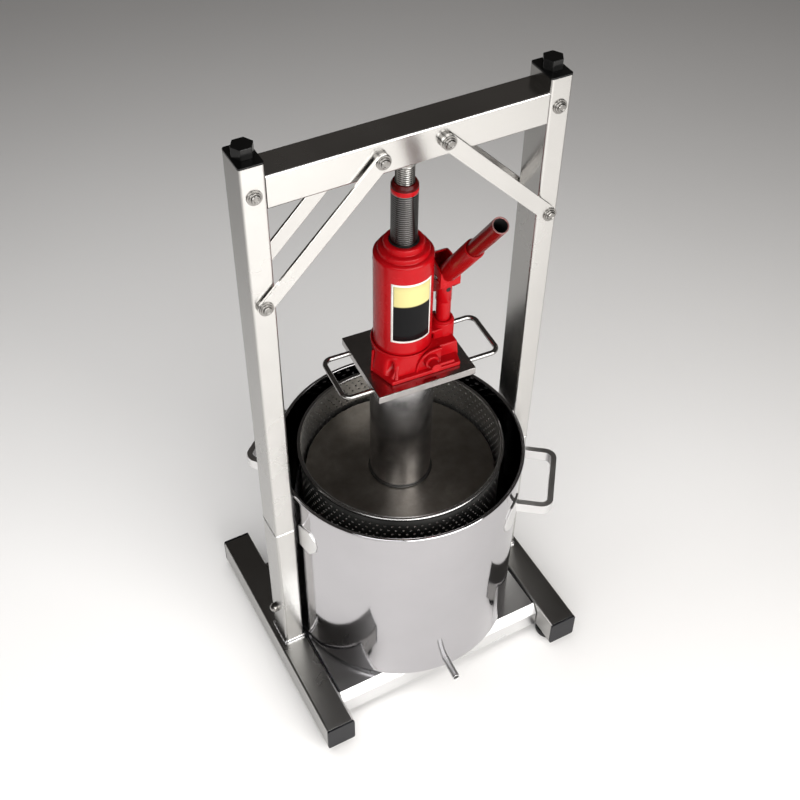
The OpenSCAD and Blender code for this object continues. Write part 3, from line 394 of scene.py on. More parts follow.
STEEL = (0.66, 0.65, 0.63)
STEEL_ROUGH = (0.18, 0.3)
ROUND_GRAIN = (9, 9, 1500)
# radius in m within which the pot's inner wall gets painted shade
POT_SHADE_RADIUS = 0.1489
BRACE_TURN = math.radians(45)
FOOT = (0.36, 0.355, 0.345)
RED = (0.39, 0.003, 0.006)
MATERIALS = {
    "steel_x": brushed("steel_x", STEEL, STEEL_ROUGH, grain_along(0)),
    "steel_y": brushed("steel_y", FOOT, (0.24, 0.36), grain_along(1)),
    # painted shade: sides=0.62 darkens the faces of the uprights and posts that turn towards X
    "steel_z": brushed("steel_z", STEEL, STEEL_ROUGH, grain_along(2), sides=0.62),
    "steel_up": brushed("steel_up", STEEL, STEEL_ROUGH, grain_along(0), (0, BRACE_TURN, 0)),
    "steel_down": brushed("steel_down", STEEL, STEEL_ROUGH, grain_along(0), (0, -BRACE_TURN, 0)),
    "plate": brushed("plate", (0.82, 0.82, 0.82), (0.2, 0.34), grain_along(0)),
    "pot": polished("pot", (0.50, 0.49, 0.505), (0.05, 0.11), POT_SHADE_RADIUS),
    "strap": polished("strap", (0.76, 0.755, 0.75), (0.28, 0.4)),
    "rod": polished("rod", (0.42, 0.41, 0.40), (0.14, 0.24)),
    "basket": brushed("basket", (0.58, 0.575, 0.56), (0.3, 0.42), grain_along(2)),
    "hoop": polished("hoop", (0.38, 0.375, 0.37), (0.2, 0.3)),
    "press": scuffed("press", (0.31, 0.285, 0.255), (0.28, 0.4), (700, 9, 700)),
    "pillar": scuffed("pillar", (0.56, 0.55, 0.55), (0.15, 0.26), (700, 700, 12)),
    "jack_plate": scuffed("jack_plate", (0.42, 0.40, 0.39), (0.14, 0.26), (9, 700, 700)),
    "zinc": brushed("zinc", (0.32, 0.31, 0.295), (0.2, 0.34), (1500, 1500, 1500)),
    "bead": brushed("bead", (0.82, 0.82, 0.83), (0.2, 0.34), (500, 500, 500)),
    "rim": brushed("rim", (0.46, 0.24, 0.23), (0.3, 0.4), (900, 900, 900)),
    "red": paint("red", RED),
    # darker copies of the red paint, painted shade for the handle's socket and tube
    "half_shaded_red": paint("half_shaded_red", (0.27, 0.003, 0.004)),
    "shaded_red": paint("shaded_red", (0.17, 0.002, 0.002)),
    "ram": brushed("ram", (0.20, 0.196, 0.193), (0.14, 0.24), ROUND_GRAIN),
    "screw": brushed("screw", (0.50, 0.49, 0.47), (0.26, 0.38), ROUND_GRAIN),
    # groove and root: dark copies of the ram and screw steel, painted shade in grooves, thread roots and the
    # pillar's weld joints
    "groove": brushed("groove", (0.035, 0.034, 0.033), (0.3, 0.42), ROUND_GRAIN),
    "root": brushed("root", (0.12, 0.117, 0.112), (0.3, 0.42), ROUND_GRAIN),
    # painted shade on the ram's chamfered top collar
    "collar_shade": paint("collar_shade", (0.06, 0.002, 0.002)),
    "black": moulded("black", (0.006, 0.006, 0.006), (0.16, 0.3), 500.0),
    "cap": moulded("cap", (0.007, 0.007, 0.0085), (0.4, 0.52), 700.0),
    "rubber": moulded("rubber", (0.008, 0.008, 0.008), (0.6, 0.75), 900.0),
    "label": label_print("label"),
    "border": moulded("border", (0.62, 0.61, 0.58), (0.32, 0.42), 900.0),
}


# mesh helpers

def turns(count):
    """Angles of equal steps round a full turn."""
    return [2 * math.pi * k / count for k in range(count)]


def add_piece(name, verts, faces, body, material, slot=None, smooth=True, crisp=40.0):
    """New mesh in metres that rides on a body, with edges sharper than crisp degrees kept sharp."""
    mesh = bpy.data.meshes.new(name)
    mesh.from_pydata([tuple(v) for v in verts], [], faces)
    mesh.validate()
    mesh.update()
    for polygon in mesh.polygons:
        polygon.use_smooth = smooth
    mesh.set_sharp_from_angle(angle=math.radians(crisp))
    mesh.materials.append(MATERIALS[material])
    piece = bpy.data.objects.new(name, mesh)
    bpy.context.scene.collection.objects.link(piece)
    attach(piece, body)
    return piece


def soften(piece, width, angle=35.0, segments=2, normals=True):
    """Rounded edges of a width in mm, on faces that are first merged where they are flat."""
    weld = piece.modifiers.new("weld", "WELD")
    weld.merge_threshold = 0.00001
    merge = piece.modifiers.new("merge", "DECIMATE")
    merge.decimate_type = "DISSOLVE"
    merge.angle_limit = math.radians(0.5)
    bevel = piece.modifiers.new("bevel", "BEVEL")
    bevel.width = width * MM
    bevel.segments = segments
    bevel.limit_method = "ANGLE"
    bevel.angle_limit = math.radians(angle)
    bevel.miter_outer = "MITER_ARC"
    if normals:
        bevel.face_strength_mode = "FSTR_ALL"
        weight = piece.modifiers.new("normals", "WEIGHTED_NORMAL")
        weight.mode = "FACE_AREA"
        weight.use_face_influence = True


def ring_faces(rings, sides, closed=False, cap=True, first=0):
    """Quads between rings of equal count from the vertex first on, with flat ends where the row is open."""
    faces = []
    last = rings if closed else rings - 1
    for i in range(last):
        here = first + i * sides
        there = first + (i + 1) % rings * sides
        for k in range(sides):
            n = (k + 1) % sides
            faces.append((here + k, here + n, there + n, there + k))
    if cap and not closed:
        end = first + (rings - 1) * sides
        faces.append(tuple(reversed(range(first, first + sides))))
        faces.append(tuple(range(end, end + sides)))
    return faces


def turned_points(profile, origin, axis, sides):
    """Rings of points for a profile of (radius, place along the axis), in mm."""
    axis = Vector(axis).normalized()
    side = Vector((1, 0, 0)) if abs(axis.x) < 0.9 else Vector((0, 1, 0))
    side = (side - axis * side.dot(axis)).normalized()
    up = axis.cross(side)
    verts = []
    for radius, along in profile:
        for a in turns(sides):
            out = side * math.cos(a) + up * math.sin(a)
            verts.append((Vector(origin) + axis * along + out * radius) * MM)
    return verts


def lathe(name, profile, origin, body, material, slot, sides, axis=UP, closed=True):
    """Turned piece: profile of (radius, place along the axis) in mm, closed into a ring or capped."""
    verts = turned_points(profile, origin, axis, sides)
    return add_piece(name, verts, ring_faces(len(profile), sides, closed), body, material, slot)


def bead(name, path, radius, body, material, slot, sides=8, ripple=0.0, closed=True):
    """Round bead along a path of points in mm, with the ripples of a hand weld if it has any."""
    count = len(path)
    verts = []
    for i, point in enumerate(path):
        before = path[i - 1] if closed or i else point
        after = path[(i + 1) % count] if closed or i < count - 1 else point
        along = (after - before).normalized()
        side = along.cross(Vector((0.1, 0.2, 1))).normalized()
        up = side.cross(along)
        size = radius * (1 + ripple * (1 if i % 2 else -1))
        for a in turns(sides):
            verts.append((point + (side * math.cos(a) + up * math.sin(a)) * size) * MM)
    add_piece(name, verts, ring_faces(count, sides, closed), body, material, slot)


def circle_path(centre, radius, normal, count):
    normal = Vector(normal).normalized()
    side = normal.orthogonal().normalized()
    up = normal.cross(side)
    return [Vector(centre) + (side * math.cos(a) + up * math.sin(a)) * radius for a in turns(count)]


def box_path(centre, half_x, half_y, corner, step):
    """Rounded rectangle in the XY plane, as points about one step apart, in mm."""
    pieces = 4
    arcs = []
    for side_x, side_y, start in ((1, 1, 0), (-1, 1, 90), (-1, -1, 180), (1, -1, 270)):
        middle = Vector((side_x * (half_x - corner), side_y * (half_y - corner), 0))
        for i in range(pieces + 1):
            a = math.radians(start + 90 * i / pieces)
            arcs.append(Vector(centre) + middle + Vector((math.cos(a), math.sin(a), 0)) * corner)
    path = []
    for i, point in enumerate(arcs):
        after = arcs[(i + 1) % len(arcs)]
        parts = max(1, round((after - point).length / step))
        path += [point.lerp(after, j / parts) for j in range(parts)]
    return path


def tool_point(x, y, z):
    """Point of the jack's own frame, with heights above the jack plate, as a place in mm."""
    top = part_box("jack_plate")[1].z / MM
    return Matrix.Rotation(TOOL_TURN, 3, "Z") @ Vector((x, y, 0)) + Vector((0, 0, top + z))


def tool_dir(x, y, z):
    """Direction of the jack's own frame."""
    return Matrix.Rotation(TOOL_TURN, 3, "Z") @ Vector((x, y, z))


def size_mm(node):
    """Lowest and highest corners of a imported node, in mm."""
    low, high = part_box(node)
    return low / MM, high / MM


# pieces, all lengths in mm

def painted_shade_faces(piece, material, radius, top=math.inf):
    """Second material, dark as painted shade, on the quads that lie closer to the vertical axis than radius,
    up to the height top.
    """
    piece.data.materials.append(MATERIALS[material])
    for polygon in piece.data.polygons:
        middle = polygon.center / MM
        if len(polygon.vertices) == 4 and middle.xy.length < radius and middle.z < top:
            polygon.material_index = 1


def basket_sheet():
    """Perforated wall: one cell for each hole, in staggered rows, inside and outside skins."""
    low, high = size_mm("basket_wall")
    outer = (high.x - low.x) / 2
    columns = round(2 * math.pi * outer / HOLE_PITCH)
    rows = round((high.z - low.z) / ROW_PITCH)
    row_h = (high.z - low.z) / rows
    step = 2 * math.pi / columns
    hole_turns = turns(HOLE_SIDES)
    corner = math.sqrt(2)
    tiny = 1e-6
    verts = []
    faces = []

    def place(angle, z, radius):
        return Vector((radius * math.cos(angle), radius * math.sin(angle), z)) * MM

    for row in range(rows):
        middle_z = low.z + (row + 0.5) * row_h
        for column in range(columns):
            middle = (column + 0.5 * (row % 2)) * step
            base = len(verts)
            for radius in (outer, outer - BASKET_T):
                for a in hole_turns:
                    reach = min(1 / max(abs(math.cos(a)), tiny), 1 / max(abs(math.sin(a)), tiny), corner)
                    across = reach * math.cos(a) * step / 2
                    rise = reach * math.sin(a) * row_h / 2
                    verts.append(place(middle + across, middle_z + rise, radius))
                for a in hole_turns:
                    across = HOLE_R * math.cos(a) / outer
                    verts.append(place(middle + across, middle_z + HOLE_R * math.sin(a), radius))
            for k in range(HOLE_SIDES):
                n = (k + 1) % HOLE_SIDES
                edge, hole = base, base + HOLE_SIDES
                back_edge, back_hole = base + 2 * HOLE_SIDES, base + 3 * HOLE_SIDES
                faces.append((edge + k, edge + n, hole + n, hole + k))
                faces.append((back_edge + n, back_edge + k, back_hole + k, back_hole + n))
                faces.append((hole + k, hole + n, back_hole + n, back_hole + k))
    sides = columns * 2
    for radius_pair, z in (((outer - BASKET_T, outer), low.z), ((outer, outer - BASKET_T), high.z)):
        faces += ring_faces(2, sides, cap=False, first=len(verts))
        for radius in radius_pair:
            verts += [place(i * step / 2, z, radius) for i in range(sides)]
    sheet = add_piece("basket_sheet", verts, faces, "basket", "basket", "basket_steel", smooth=False)
    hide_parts("basket_wall")


def hoop_bead():
    """Rolled bead along the top of the basket's hoop."""
    low, high = size_mm("basket_hoop")
    reach = (high.x - low.x) / 2 - HOOP_BEAD_INSET
    middle = high.z - HOOP_BEAD_R + HOOP_BEAD_PROUD
    ring = [(reach + HOOP_BEAD_R * math.cos(a), middle + HOOP_BEAD_R * math.sin(a)) for a in turns(14)]
    lathe("hoop_bead", ring, CENTRE, "basket", "hoop", "basket_steel", 120)


def thread_height(phase):
    """Profile of a thread over one pitch: flat root, flank, flat crest, flank."""
    if phase < THREAD_FLAT:
        return 0.0
    if phase < THREAD_FLAT + THREAD_FLANK:
        return (phase - THREAD_FLAT) / THREAD_FLANK
    if phase < 1.0 - THREAD_FLANK:
        return 1.0
    return (1.0 - phase) / THREAD_FLANK


def threaded_screw():
    """Extension screw with a real helix and its grooved saddle."""
    low, high = size_mm("extension_screw")
    top = high.z - SADDLE_H
    root = SCREW_R - THREAD_DEPTH
    rows = round((top - low.z) / SCREW_PITCH * ROWS_PER_PITCH)
    verts = []
    for row in range(rows + 1):
        z = low.z + (top - low.z) * row / rows
        fade = min(1.0, (top - z) / SCREW_PITCH, (z - low.z) / SCREW_PITCH + 0.4)
        for k, a in enumerate(turns(SCREW_SIDES)):
            phase = ((z - low.z) / SCREW_PITCH + k / SCREW_SIDES) % 1.0
            radius = root + THREAD_DEPTH * thread_height(phase) * max(0.0, fade)
            verts.append(Vector((radius * math.cos(a), radius * math.sin(a), z)) * MM)
    saddle = [(SADDLE_R * 0.86, 0.0), (SADDLE_R, 1.2), (SADDLE_R, 2.0), (SADDLE_R - 0.5, 2.3),
              (SADDLE_R - 0.5, 2.8), (SADDLE_R, 3.1), (SADDLE_R, SADDLE_H - 0.7),
              (SADDLE_R - 0.7, SADDLE_H), (SADDLE_R - 4.0, SADDLE_H), (SADDLE_R - 4.6, SADDLE_H - 0.8),
              (1.0, SADDLE_H - 0.8)]
    verts += turned_points(saddle, (0, 0, top), UP, SCREW_SIDES)
    faces = ring_faces(rows + 1 + len(saddle), SCREW_SIDES)
    screw = add_piece("threaded_screw", verts, faces, "screw", "screw", "bright_zinc")
    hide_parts("extension_screw")
    # painted shade: the thread roots take the dark root material
    painted_shade_faces(screw, "root", SCREW_R - THREAD_DEPTH * 0.5, top)


def grooved_ram():
    """Ram with turned grooves, a red band and a chamfered collar round the screw's bore, coloured near black
    red as painted shade.
    """
    low, high = size_mm("jack_ram")
    bore = SCREW_R + 0.1
    end = high.z - RAM_CHAMFER
    band = high.z - RAM_BAND
    split = band + RAM_RED
    start = low.z + PISTON_H
    piston = (high.x - low.x) / 2
    z = size_mm("jack_top_nut")[1].z - GROOVES_BELOW_NUT
    profile = [(piston, low.z), (piston, start), (RAM_R, start), (RAM_R, z)]
    while z < band - RAM_GROOVE_PITCH:
        profile += [(RAM_R, z + 0.4 * RAM_GROOVE_PITCH), (RAM_R - RAM_GROOVE, z + 0.7 * RAM_GROOVE_PITCH),
                    (RAM_R, z + RAM_GROOVE_PITCH)]
        z += RAM_GROOVE_PITCH
    profile.append((RAM_R, band))
    ram = lathe("grooved_ram", profile, CENTRE, "ram", "ram", "ram_steel", RAM_SIDES, closed=False)
    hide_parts("jack_ram")
    # painted shade: the floors of the ram's grooves take the dark groove material
    painted_shade_faces(ram, "groove", RAM_R - 0.1)
    proud = RAM_R + 0.25
    ring = [(bore, band), (RAM_R, band), (proud, band + 0.3), (proud, split - 0.4), (RAM_R, split),
            (bore, split)]
    lathe("ram_band", ring, CENTRE, "ram", "red", "red_paint", RAM_SIDES)
    tip = RAM_R - RAM_CHAMFER * 2 / 3
    collar = [(bore, split), (RAM_R + 0.02, split), (RAM_R + 0.02, end - 0.6), (RAM_R - 0.3, end),
              (tip + 0.3, high.z - 0.4), (tip, high.z), (bore + 0.6, high.z), (bore, high.z - 0.6)]
    # painted shade: the chamfered collar is coloured near black red
    lathe("ram_collar", collar, CENTRE, "ram", "collar_shade", "red_paint", RAM_SIDES)


def label_patch(name, radius, proud, border, material):
    """Thin sheet wrapped on the oil tank, proud of a radius and smaller than the whole label by a border."""
    reach = radius + proud
    edge_angle = border / radius
    start, end = LABEL_START + edge_angle, LABEL_END - edge_angle
    low, high = LABEL_LOW + border, LABEL_HIGH - border
    verts = []
    for row in range(LABEL_ROWS + 1):
        z = low + (high - low) * row / LABEL_ROWS
        for column in range(LABEL_COLUMNS + 1):
            a = start + (end - start) * column / LABEL_COLUMNS
            verts.append(tool_point(reach * math.cos(a), reach * math.sin(a), z) * MM)
    faces = []
    for row in range(LABEL_ROWS):
        for column in range(LABEL_COLUMNS):
            here = row * (LABEL_COLUMNS + 1) + column
            above = here + LABEL_COLUMNS + 1
            faces.append((here, here + 1, above + 1, above))
    piece = add_piece(name, verts, faces, "press_tool", material)
    thick = piece.modifiers.new("thickness", "SOLIDIFY")
    thick.thickness = LABEL_T * MM
    thick.offset = -1


def tank_label():
    """Bare label on the oil tank, a printed field on a pale sheet that shows as its border."""
    low, high = size_mm("jack_tank")
    radius = (high.x - low.x) / 2 + LABEL_PROUD
    label_patch("label_border", radius, 0.0, 0.0, "border")
    label_patch("label_field", radius, LABEL_FIELD_PROUD, LABEL_BORDER, "label")


def frame_welds():
    """Beads at the foot of the posts and the thin seams where the uprights sit on them."""
    for side in ("left", "right"):
        low, high = size_mm("stub_post_" + side)
        middle = (low + high) / 2
        half_x, half_y = (high.x - low.x) / 2, (high.y - low.y) / 2
        foot = (middle.x, middle.y, low.z + 0.8)
        weld = box_path(foot, half_x + 0.6, half_y + 0.6, 3.5, 3.4)
        bead("post_weld_" + side, weld, 1.8, "frame", "bead", "frame_steel", ripple=0.2)
        joint = (middle.x, middle.y, high.z)
        seam = box_path(joint, half_x - 0.05, half_y - 0.05, 3.0, 3.0)
        bead("post_seam_" + side, seam, 0.55, "frame", "bead", "frame_steel", 6, 0.1)


def flanged_bolts(name, node, places):
    """Bolts through the frame from front to back, each with a low round head on a flange."""
    low, high = size_mm(node)
    front = low.y + BOLT_HEAD
    length = high.y - front
    profile = BOLT_PROFILE + [(BOLT_R, length - BOLT_CHAMFER), (BOLT_R - BOLT_CHAMFER, length)]
    verts, faces = [], []
    for x, z in places:
        faces += ring_faces(len(profile), BOLT_SIDES, first=len(verts))
        verts += turned_points(profile, (x, front, z), (0, 1, 0), BOLT_SIDES)
    bolts = add_piece(name, verts, faces, "frame", "zinc", "bright_zinc", crisp=30.0)
    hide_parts(node)


def tool_welds():
    """Beads at both ends of the pillar, coloured dark as painted shade at the joints."""
    low, high = size_mm("press_pillar")
    radius = (high.x - low.x) / 2
    for name, z in (("pillar_weld_low", low.z + 1.0), ("pillar_weld_high", high.z - 1.0)):
        path = circle_path((0, 0, z), radius + 0.6, UP, 90)
        # painted shade: the weld beads take the dark root material
        bead(name, path, 1.7, "press_tool", "root", "tool_steel", ripple=0.12)


def pin_clips():
    """Spring clips on the ends of the two pump pins."""
    pins = (("fulcrum_pin", "press_tool", "fulcrum_clip"), ("plunger_pin", "plunger", "pin_clip"))
    for node, body, name in pins:
        low, high = size_mm(node)
        middle = (low + high) / 2
        radius = (high.z - low.z) / 2
        for side, label in ((-1, "left"), (1, "right")):
            across = tool_dir(side, 0, 0)
            end = middle + across * ((high.x - low.x) / 2 - 1.0)
            path = circle_path(end, radius + 0.3, across, 20)
            bead(f"{name}_{label}", path, 0.45, body, "zinc", "bright_zinc", 6)


def stepped_nut():
    """Top nut with three rounded steps, a flat face round the ram and its dark wiper ring."""
    low, high = size_mm("jack_top_nut")
    rise = high.z - low.z
    hole = RAM_R + 0.1
    steps = [(hole, 0.0), (TANK_R, 0.0), (TANK_R, 1.4), (32.7, 2.9), (31.9, 4.1), (30.7, 4.9), (29.2, 5.2),
             (28.5, 5.3), (28.2, 5.7), (28.2, 8.8), (27.9, 10.0), (27.1, 10.9), (25.9, 11.4), (23.2, 11.5),
             (22.5, 11.8), (22.2, 12.4), (22.2, rise - 2.2), (21.9, rise - 1.1), (21.2, rise - 0.3),
             (20.2, rise), (17.2, rise), (16.6, rise - 0.5), (16.4, rise - 1.6), (hole, rise - 1.6)]
    nut = lathe("stepped_nut", steps, (0, 0, low.z), *RED_PART, 80)
    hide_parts("jack_top_nut")
    wiper = [(RAM_R + 0.05, rise - 1.6), (16.3, rise - 1.6), (16.2, rise - 0.9), (15.5, rise - 0.3),
             (RAM_R + 0.3, rise - 0.3), (RAM_R + 0.05, rise - 0.7)]
    lathe("ram_wiper", wiper, (0, 0, low.z), "press_tool", "rubber", "rubber", 72)


def casting_rims():
    """Rounded lips of the jack's casting, at the tank's foot and on the pump boss."""
    lip = [(TANK_R + 0.05, -0.6), (35.6, -0.6), (36.1, 0.2), (36.1, 1.2), (35.7, 2.0), (35.0, 2.3),
           (34.3, 2.0), (34.0, 1.2), (33.7, 0.4), (TANK_R + 0.05, 0.2)]
    lathe("tank_foot_lip", lip, tool_point(0, 0, TANK_FOOT), *RED_PART, 80)
    gland = [(NECK_R + 0.05, -0.2), (11.6, -0.2), (12.2, 0.5), (12.2, 1.4), (11.5, 2.2), (10.2, 2.5),
             (9.4, 2.3), (NECK_R + 0.8, 1.6), (NECK_R + 0.05, 1.4)]
    lathe("pump_gland", gland, tool_point(PUMP_X, 0, BOSS_TOP), *RED_PART, 48)


def loft(name, rings, crisp=50.0):
    """Red piece of the casting through rings of points in the jack's frame."""
    verts = [tool_point(*p) * MM for ring in rings for p in ring]
    faces = ring_faces(len(rings), len(rings[0]))
    return add_piece(name, verts, faces, *RED_PART, crisp=crisp)


def casting_block(name, low, high, lean=0.0, width=1.2):
    """Rounded block of the casting between two corners in the jack's frame, leaning in towards its top."""
    rings = []
    for z, inset in ((low[2], 0.0), (high[2], lean)):
        left, right = low[0] + inset, high[0] - inset
        front, back = low[1] + inset, high[1] - inset
        rings.append([(left, front, z), (right, front, z), (right, back, z), (left, back, z)])
    soften(loft(name, rings), width, segments=3)


def outline_reach(outline, a):
    """Distance from the jack's axis to a closed outline in the direction of the angle a."""
    tiny = 1e-6
    out = Vector((math.cos(a), math.sin(a)))
    for i, corner in enumerate(outline):
        start, end = Vector(corner), Vector(outline[(i + 1) % len(outline)])
        edge = end - start
        cross = out.x * edge.y - out.y * edge.x
        if abs(cross) < tiny:
            continue
        reach = (start.x * edge.y - start.y * edge.x) / cross
        part = (start.x * out.y - start.y * out.x) / cross
        if reach > 0 and -tiny <= part <= 1 + tiny:
            return reach
    return TANK_R


def casting_body():
    """Cast body from its cornered foot up to the tank's round seat, with a hollow beside the front fin."""
    rings = []
    for z in CASTING_LEVELS:
        rise = min(1.0, max(0.0, (z - SLOPE_LOW) / SLOPE_H))
        blend = rise ** CASTING_CURVE
        depth = HOLLOW_DEPTH * math.sin(math.pi * min(1.0, rise * HOLLOW_REACH))
        ring = []
        for a in turns(CASTING_SIDES):
            off = (math.degrees(a) - HOLLOW_AT) / HOLLOW_WIDTH
            reach = outline_reach(BODY_OUTLINE, a) * (1 - blend) + SEAT_R * blend
            reach -= depth * math.exp(-off * off)
            ring.append((reach * math.cos(a), reach * math.sin(a), z))
        rings.append(ring)
    loft("casting_body", rings, 60.0)


def casting_fin():
    """Fin at the casting's front left corner, its outer edge sloping up to the seat of the tank."""
    out = Vector((math.cos(FIN_AT), math.sin(FIN_AT)))
    side = Vector((-out.y, out.x)) * FIN_HALF
    rings = []
    for along, top in ((30.0, 26.5), (35.0, 25.2), (50.2, 2.8)):
        left, right = out * along + side, out * along - side
        rings.append([(*right, CASTING_LOW), (*left, CASTING_LOW), (*left, top), (*right, top)])
    soften(loft("casting_fin", rings), 1.2, segments=3)


def valve_arch():
    """Raised arch round the release valve and the short boss inside it."""
    outline = [(ARCH[0][0], ARCH_FOOT)] + ARCH + [(ARCH[-1][0], ARCH_FOOT)]
    rings = [[(x, y, z) for x, z in outline] for y in (ARCH_BACK, ARCH_FRONT)]
    soften(loft("valve_block", rings), 0.8)
    path = [tool_point(x, ARCH_FRONT + 0.1, z) for x, z in ARCH]
    bead("valve_arch", path, 1.9, *RED_PART, 10, closed=False)
    tap = [(4.2, 26.0), (8.8, 26.0), (8.8, 41.6), (8.4, 42.5), (7.6, 43.0), (5.2, 43.0), (4.4, 42.4),
           (4.2, 41.6)]
    lathe("valve_boss", tap, tool_point(VALVE_X, 0, VALVE_Z), *RED_PART, 48, tool_dir(0, -1, 0))


def jack_casting():
    """Cast foot of the jack: flange, body with a fin and a ridge, valve arch, pump boss and its blocks."""
    rings = [[(x, y, z) for x, y in FLANGE_OUTLINE] for z in (FLANGE_LOW, FLANGE_TOP)]
    flange = loft("casting_flange", rings)
    soften(flange, 1.5, 25.0, 3)
    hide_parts("jack_base")
    casting_body()
    casting_fin()
    valve_arch()
    ridge_top, ridge_foot = tool_point(-37.2, -3.2, 24.0), tool_point(-42.2, -10.8, 1.5)
    ridge = [ridge_top.lerp(ridge_foot, i / 5) for i in range(6)]
    bead("casting_ridge", ridge, 1.6, *RED_PART, 10, closed=False)
    boss = [(0.5, CASTING_LOW), (13.2, CASTING_LOW), (13.2, BOSS_TOP - 1.4), (12.7, BOSS_TOP - 0.4),
            (11.8, BOSS_TOP), (0.5, BOSS_TOP)]
    lathe("pump_boss", boss, tool_point(PUMP_X, 0, 0), *RED_PART, 56)
    casting_block("casting_bridge", (18.0, -12.5, CASTING_LOW), (PUMP_X, 9.5, 33.0), 0.8)
    casting_block("casting_back", (PUMP_X - 12.3, 0.0, CASTING_LOW), (PUMP_X + 12.3, 25.0, 24.0), 0.5)
    casting_block("casting_wall", (24.0, -26.0, CASTING_LOW), (PUMP_X + 9.0, 4.0, 21.0), 1.5, 2.0)


def pump_body():
    """Pump cylinder with its neck, a groove under the head and a dark disc as painted shade in the weep hole.
    """
    bore = 5.3
    groove = NECK_R - 0.5
    profile = [(bore, BOSS_TOP - 1), (NECK_R, BOSS_TOP - 1), (NECK_R, HEAD_LOW - 1.0),
               (groove, HEAD_LOW - 0.6), (groove, HEAD_LOW), (HEAD_R - 0.5, HEAD_LOW + 0.1),
               (HEAD_R, HEAD_LOW + 0.7), (HEAD_R, HEAD_TOP - 1), (HEAD_R - 1, HEAD_TOP), (bore, HEAD_TOP)]
    body = lathe("pump_body", profile, tool_point(PUMP_X, 0, 0), *RED_PART, 56)
    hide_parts("pump_cylinder")
    # painted shade: a dark disc in the weep hole
    hole = [(0.3, HEAD_R - 0.3), (2.9, HEAD_R - 0.8), (2.9, HEAD_R + 0.05), (2.5, HEAD_R + 0.15),
            (0.3, HEAD_R + 0.05)]
    place = tool_point(PUMP_X, 0, HEAD_TOP - 6.0)
    lathe("weep_hole", hole, place, "press_tool", "rubber", "rubber", 20, tool_dir(0.12, -1, 0))


def yoke_plate(verts, faces, sheets, loops, points, x_low, x_high):
    """One plate of the yoke: its sheets at both faces and the walls along its loops."""
    base = len(verts)
    count = len(points)
    for x in (x_low, x_high):
        verts += [tool_point(x, y, z) * MM for y, z in points]
    for sheet in sheets:
        faces.append(tuple(base + count + i for i in sheet))
        faces.append(tuple(base + i for i in reversed(sheet)))
    for loop in loops:
        for i, here in enumerate(loop):
            after = loop[(i + 1) % len(loop)]
            faces.append((base + here, base + after, base + count + after, base + count + here))


def socket_line():
    """Start and direction of the handle's socket."""
    axis = tool_dir(0, -math.cos(SOCKET_TILT), math.sin(SOCKET_TILT))
    return tool_point(PUMP_X, 0, SOCKET_Z), axis


def yoke_cheek():
    """Points, sheets and loops of a cheek, in the (y, z) plane, with the pin slot and the fulcrum's hole."""
    along = Vector((-18.0, 7.0)).normalized()
    across = Vector((7.0, 18.0)).normalized()
    near, far = PIN_SLOT

    def on_line(distance, offset=0.0):
        return Vector(FULCRUM) + along * distance + across * offset

    lower = [(YOKE_FRONT, 96), (-4, 84), (6, 76), (16, 73), (24, 76), (29, 84)]
    upper = [(31, 95), (30, 106), (26, 115), (18, 121), (8, 122), (-4, 119), (YOKE_FRONT, 116)]
    slot = [on_line(far), on_line(far, PIN_SLOT_HALF), on_line(near, PIN_SLOT_HALF), on_line(near),
            on_line(near, -PIN_SLOT_HALF), on_line(far, -PIN_SLOT_HALF)]
    hole = [on_line(FULCRUM_R * math.cos(a), FULCRUM_R * math.sin(a)) for a in turns(FULCRUM_SIDES)]
    points = [on_line(YOKE_NOSE)] + lower + [on_line(YOKE_BACK)] + upper + slot + hole

    front = 0
    back = 1 + len(lower)
    first_slot = back + 1 + len(upper)
    first_hole = first_slot + len(slot)
    half_hole = first_hole + FULCRUM_SIDES // 2
    lower_edge = list(range(1, back))
    upper_edge = list(range(back + 1, first_slot))
    slot_edge = list(range(first_slot, first_hole))
    hole_edge = list(range(first_hole, len(points)))
    hole_top = list(range(first_hole, half_hole + 1))
    hole_bottom = list(range(half_hole, len(points))) + [first_hole]
    top_sheet = [front] + slot_edge[:4] + hole_top + [back] + upper_edge
    low_sheet = [front] + lower_edge + [back] + hole_bottom + slot_edge[3:] + [first_slot]
    outline = [front] + lower_edge + [back] + upper_edge
    sheets = [list(reversed(top_sheet)), low_sheet]
    loops = [outline, list(reversed(slot_edge)), list(reversed(hole_edge))]
    return points, sheets, loops


def pump_yoke():
    """Pump yoke: two cheeks with pin slots, front web, closed back and the handle's socket tube."""
    verts, faces = [], []
    points, sheets, loops = yoke_cheek()
    inner, outer = YOKE_HALF, YOKE_HALF + YOKE_T
    for low_x, high_x in ((PUMP_X - outer, PUMP_X - inner), (PUMP_X + inner, PUMP_X + outer)):
        yoke_plate(verts, faces, sheets, loops, points, low_x, high_x)
    web_back = YOKE_FRONT + YOKE_T
    web = [(YOKE_FRONT, 96), (web_back, 95), (web_back, 116), (YOKE_FRONT, 116)]
    shell = [Vector(p) for p in ((24, 76), (29, 84), (31, 95), (30, 106), (26, 115), (18, 121))]
    shell += [Vector(FULCRUM).lerp(p, 0.9) for p in reversed(shell)]
    reach = inner + 0.3
    for profile in (web, shell):
        loop = list(range(len(profile)))
        yoke_plate(verts, faces, [loop], [loop], profile, PUMP_X - reach, PUMP_X + reach)
    yoke = add_piece("pump_yoke", verts, faces, "lever", "red", "red_paint", crisp=35.0)
    soften(yoke, 0.5)
    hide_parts("handle_socket")
    tube = [(0.5, 14.0), (10.6, 14.0), (11.0, 14.4), (11.0, 102.2), (10.7, 102.8), (10.2, 103.0),
            (9.2, 103.0), (8.95, 102.6), (8.95, 16.4), (0.5, 16.4)]
    origin, axis = socket_line()
    # painted shade: the socket tube has a darker copy of the red paint
    lathe("socket_tube", tube, origin, "lever", "half_shaded_red", "red_paint", 56, axis)


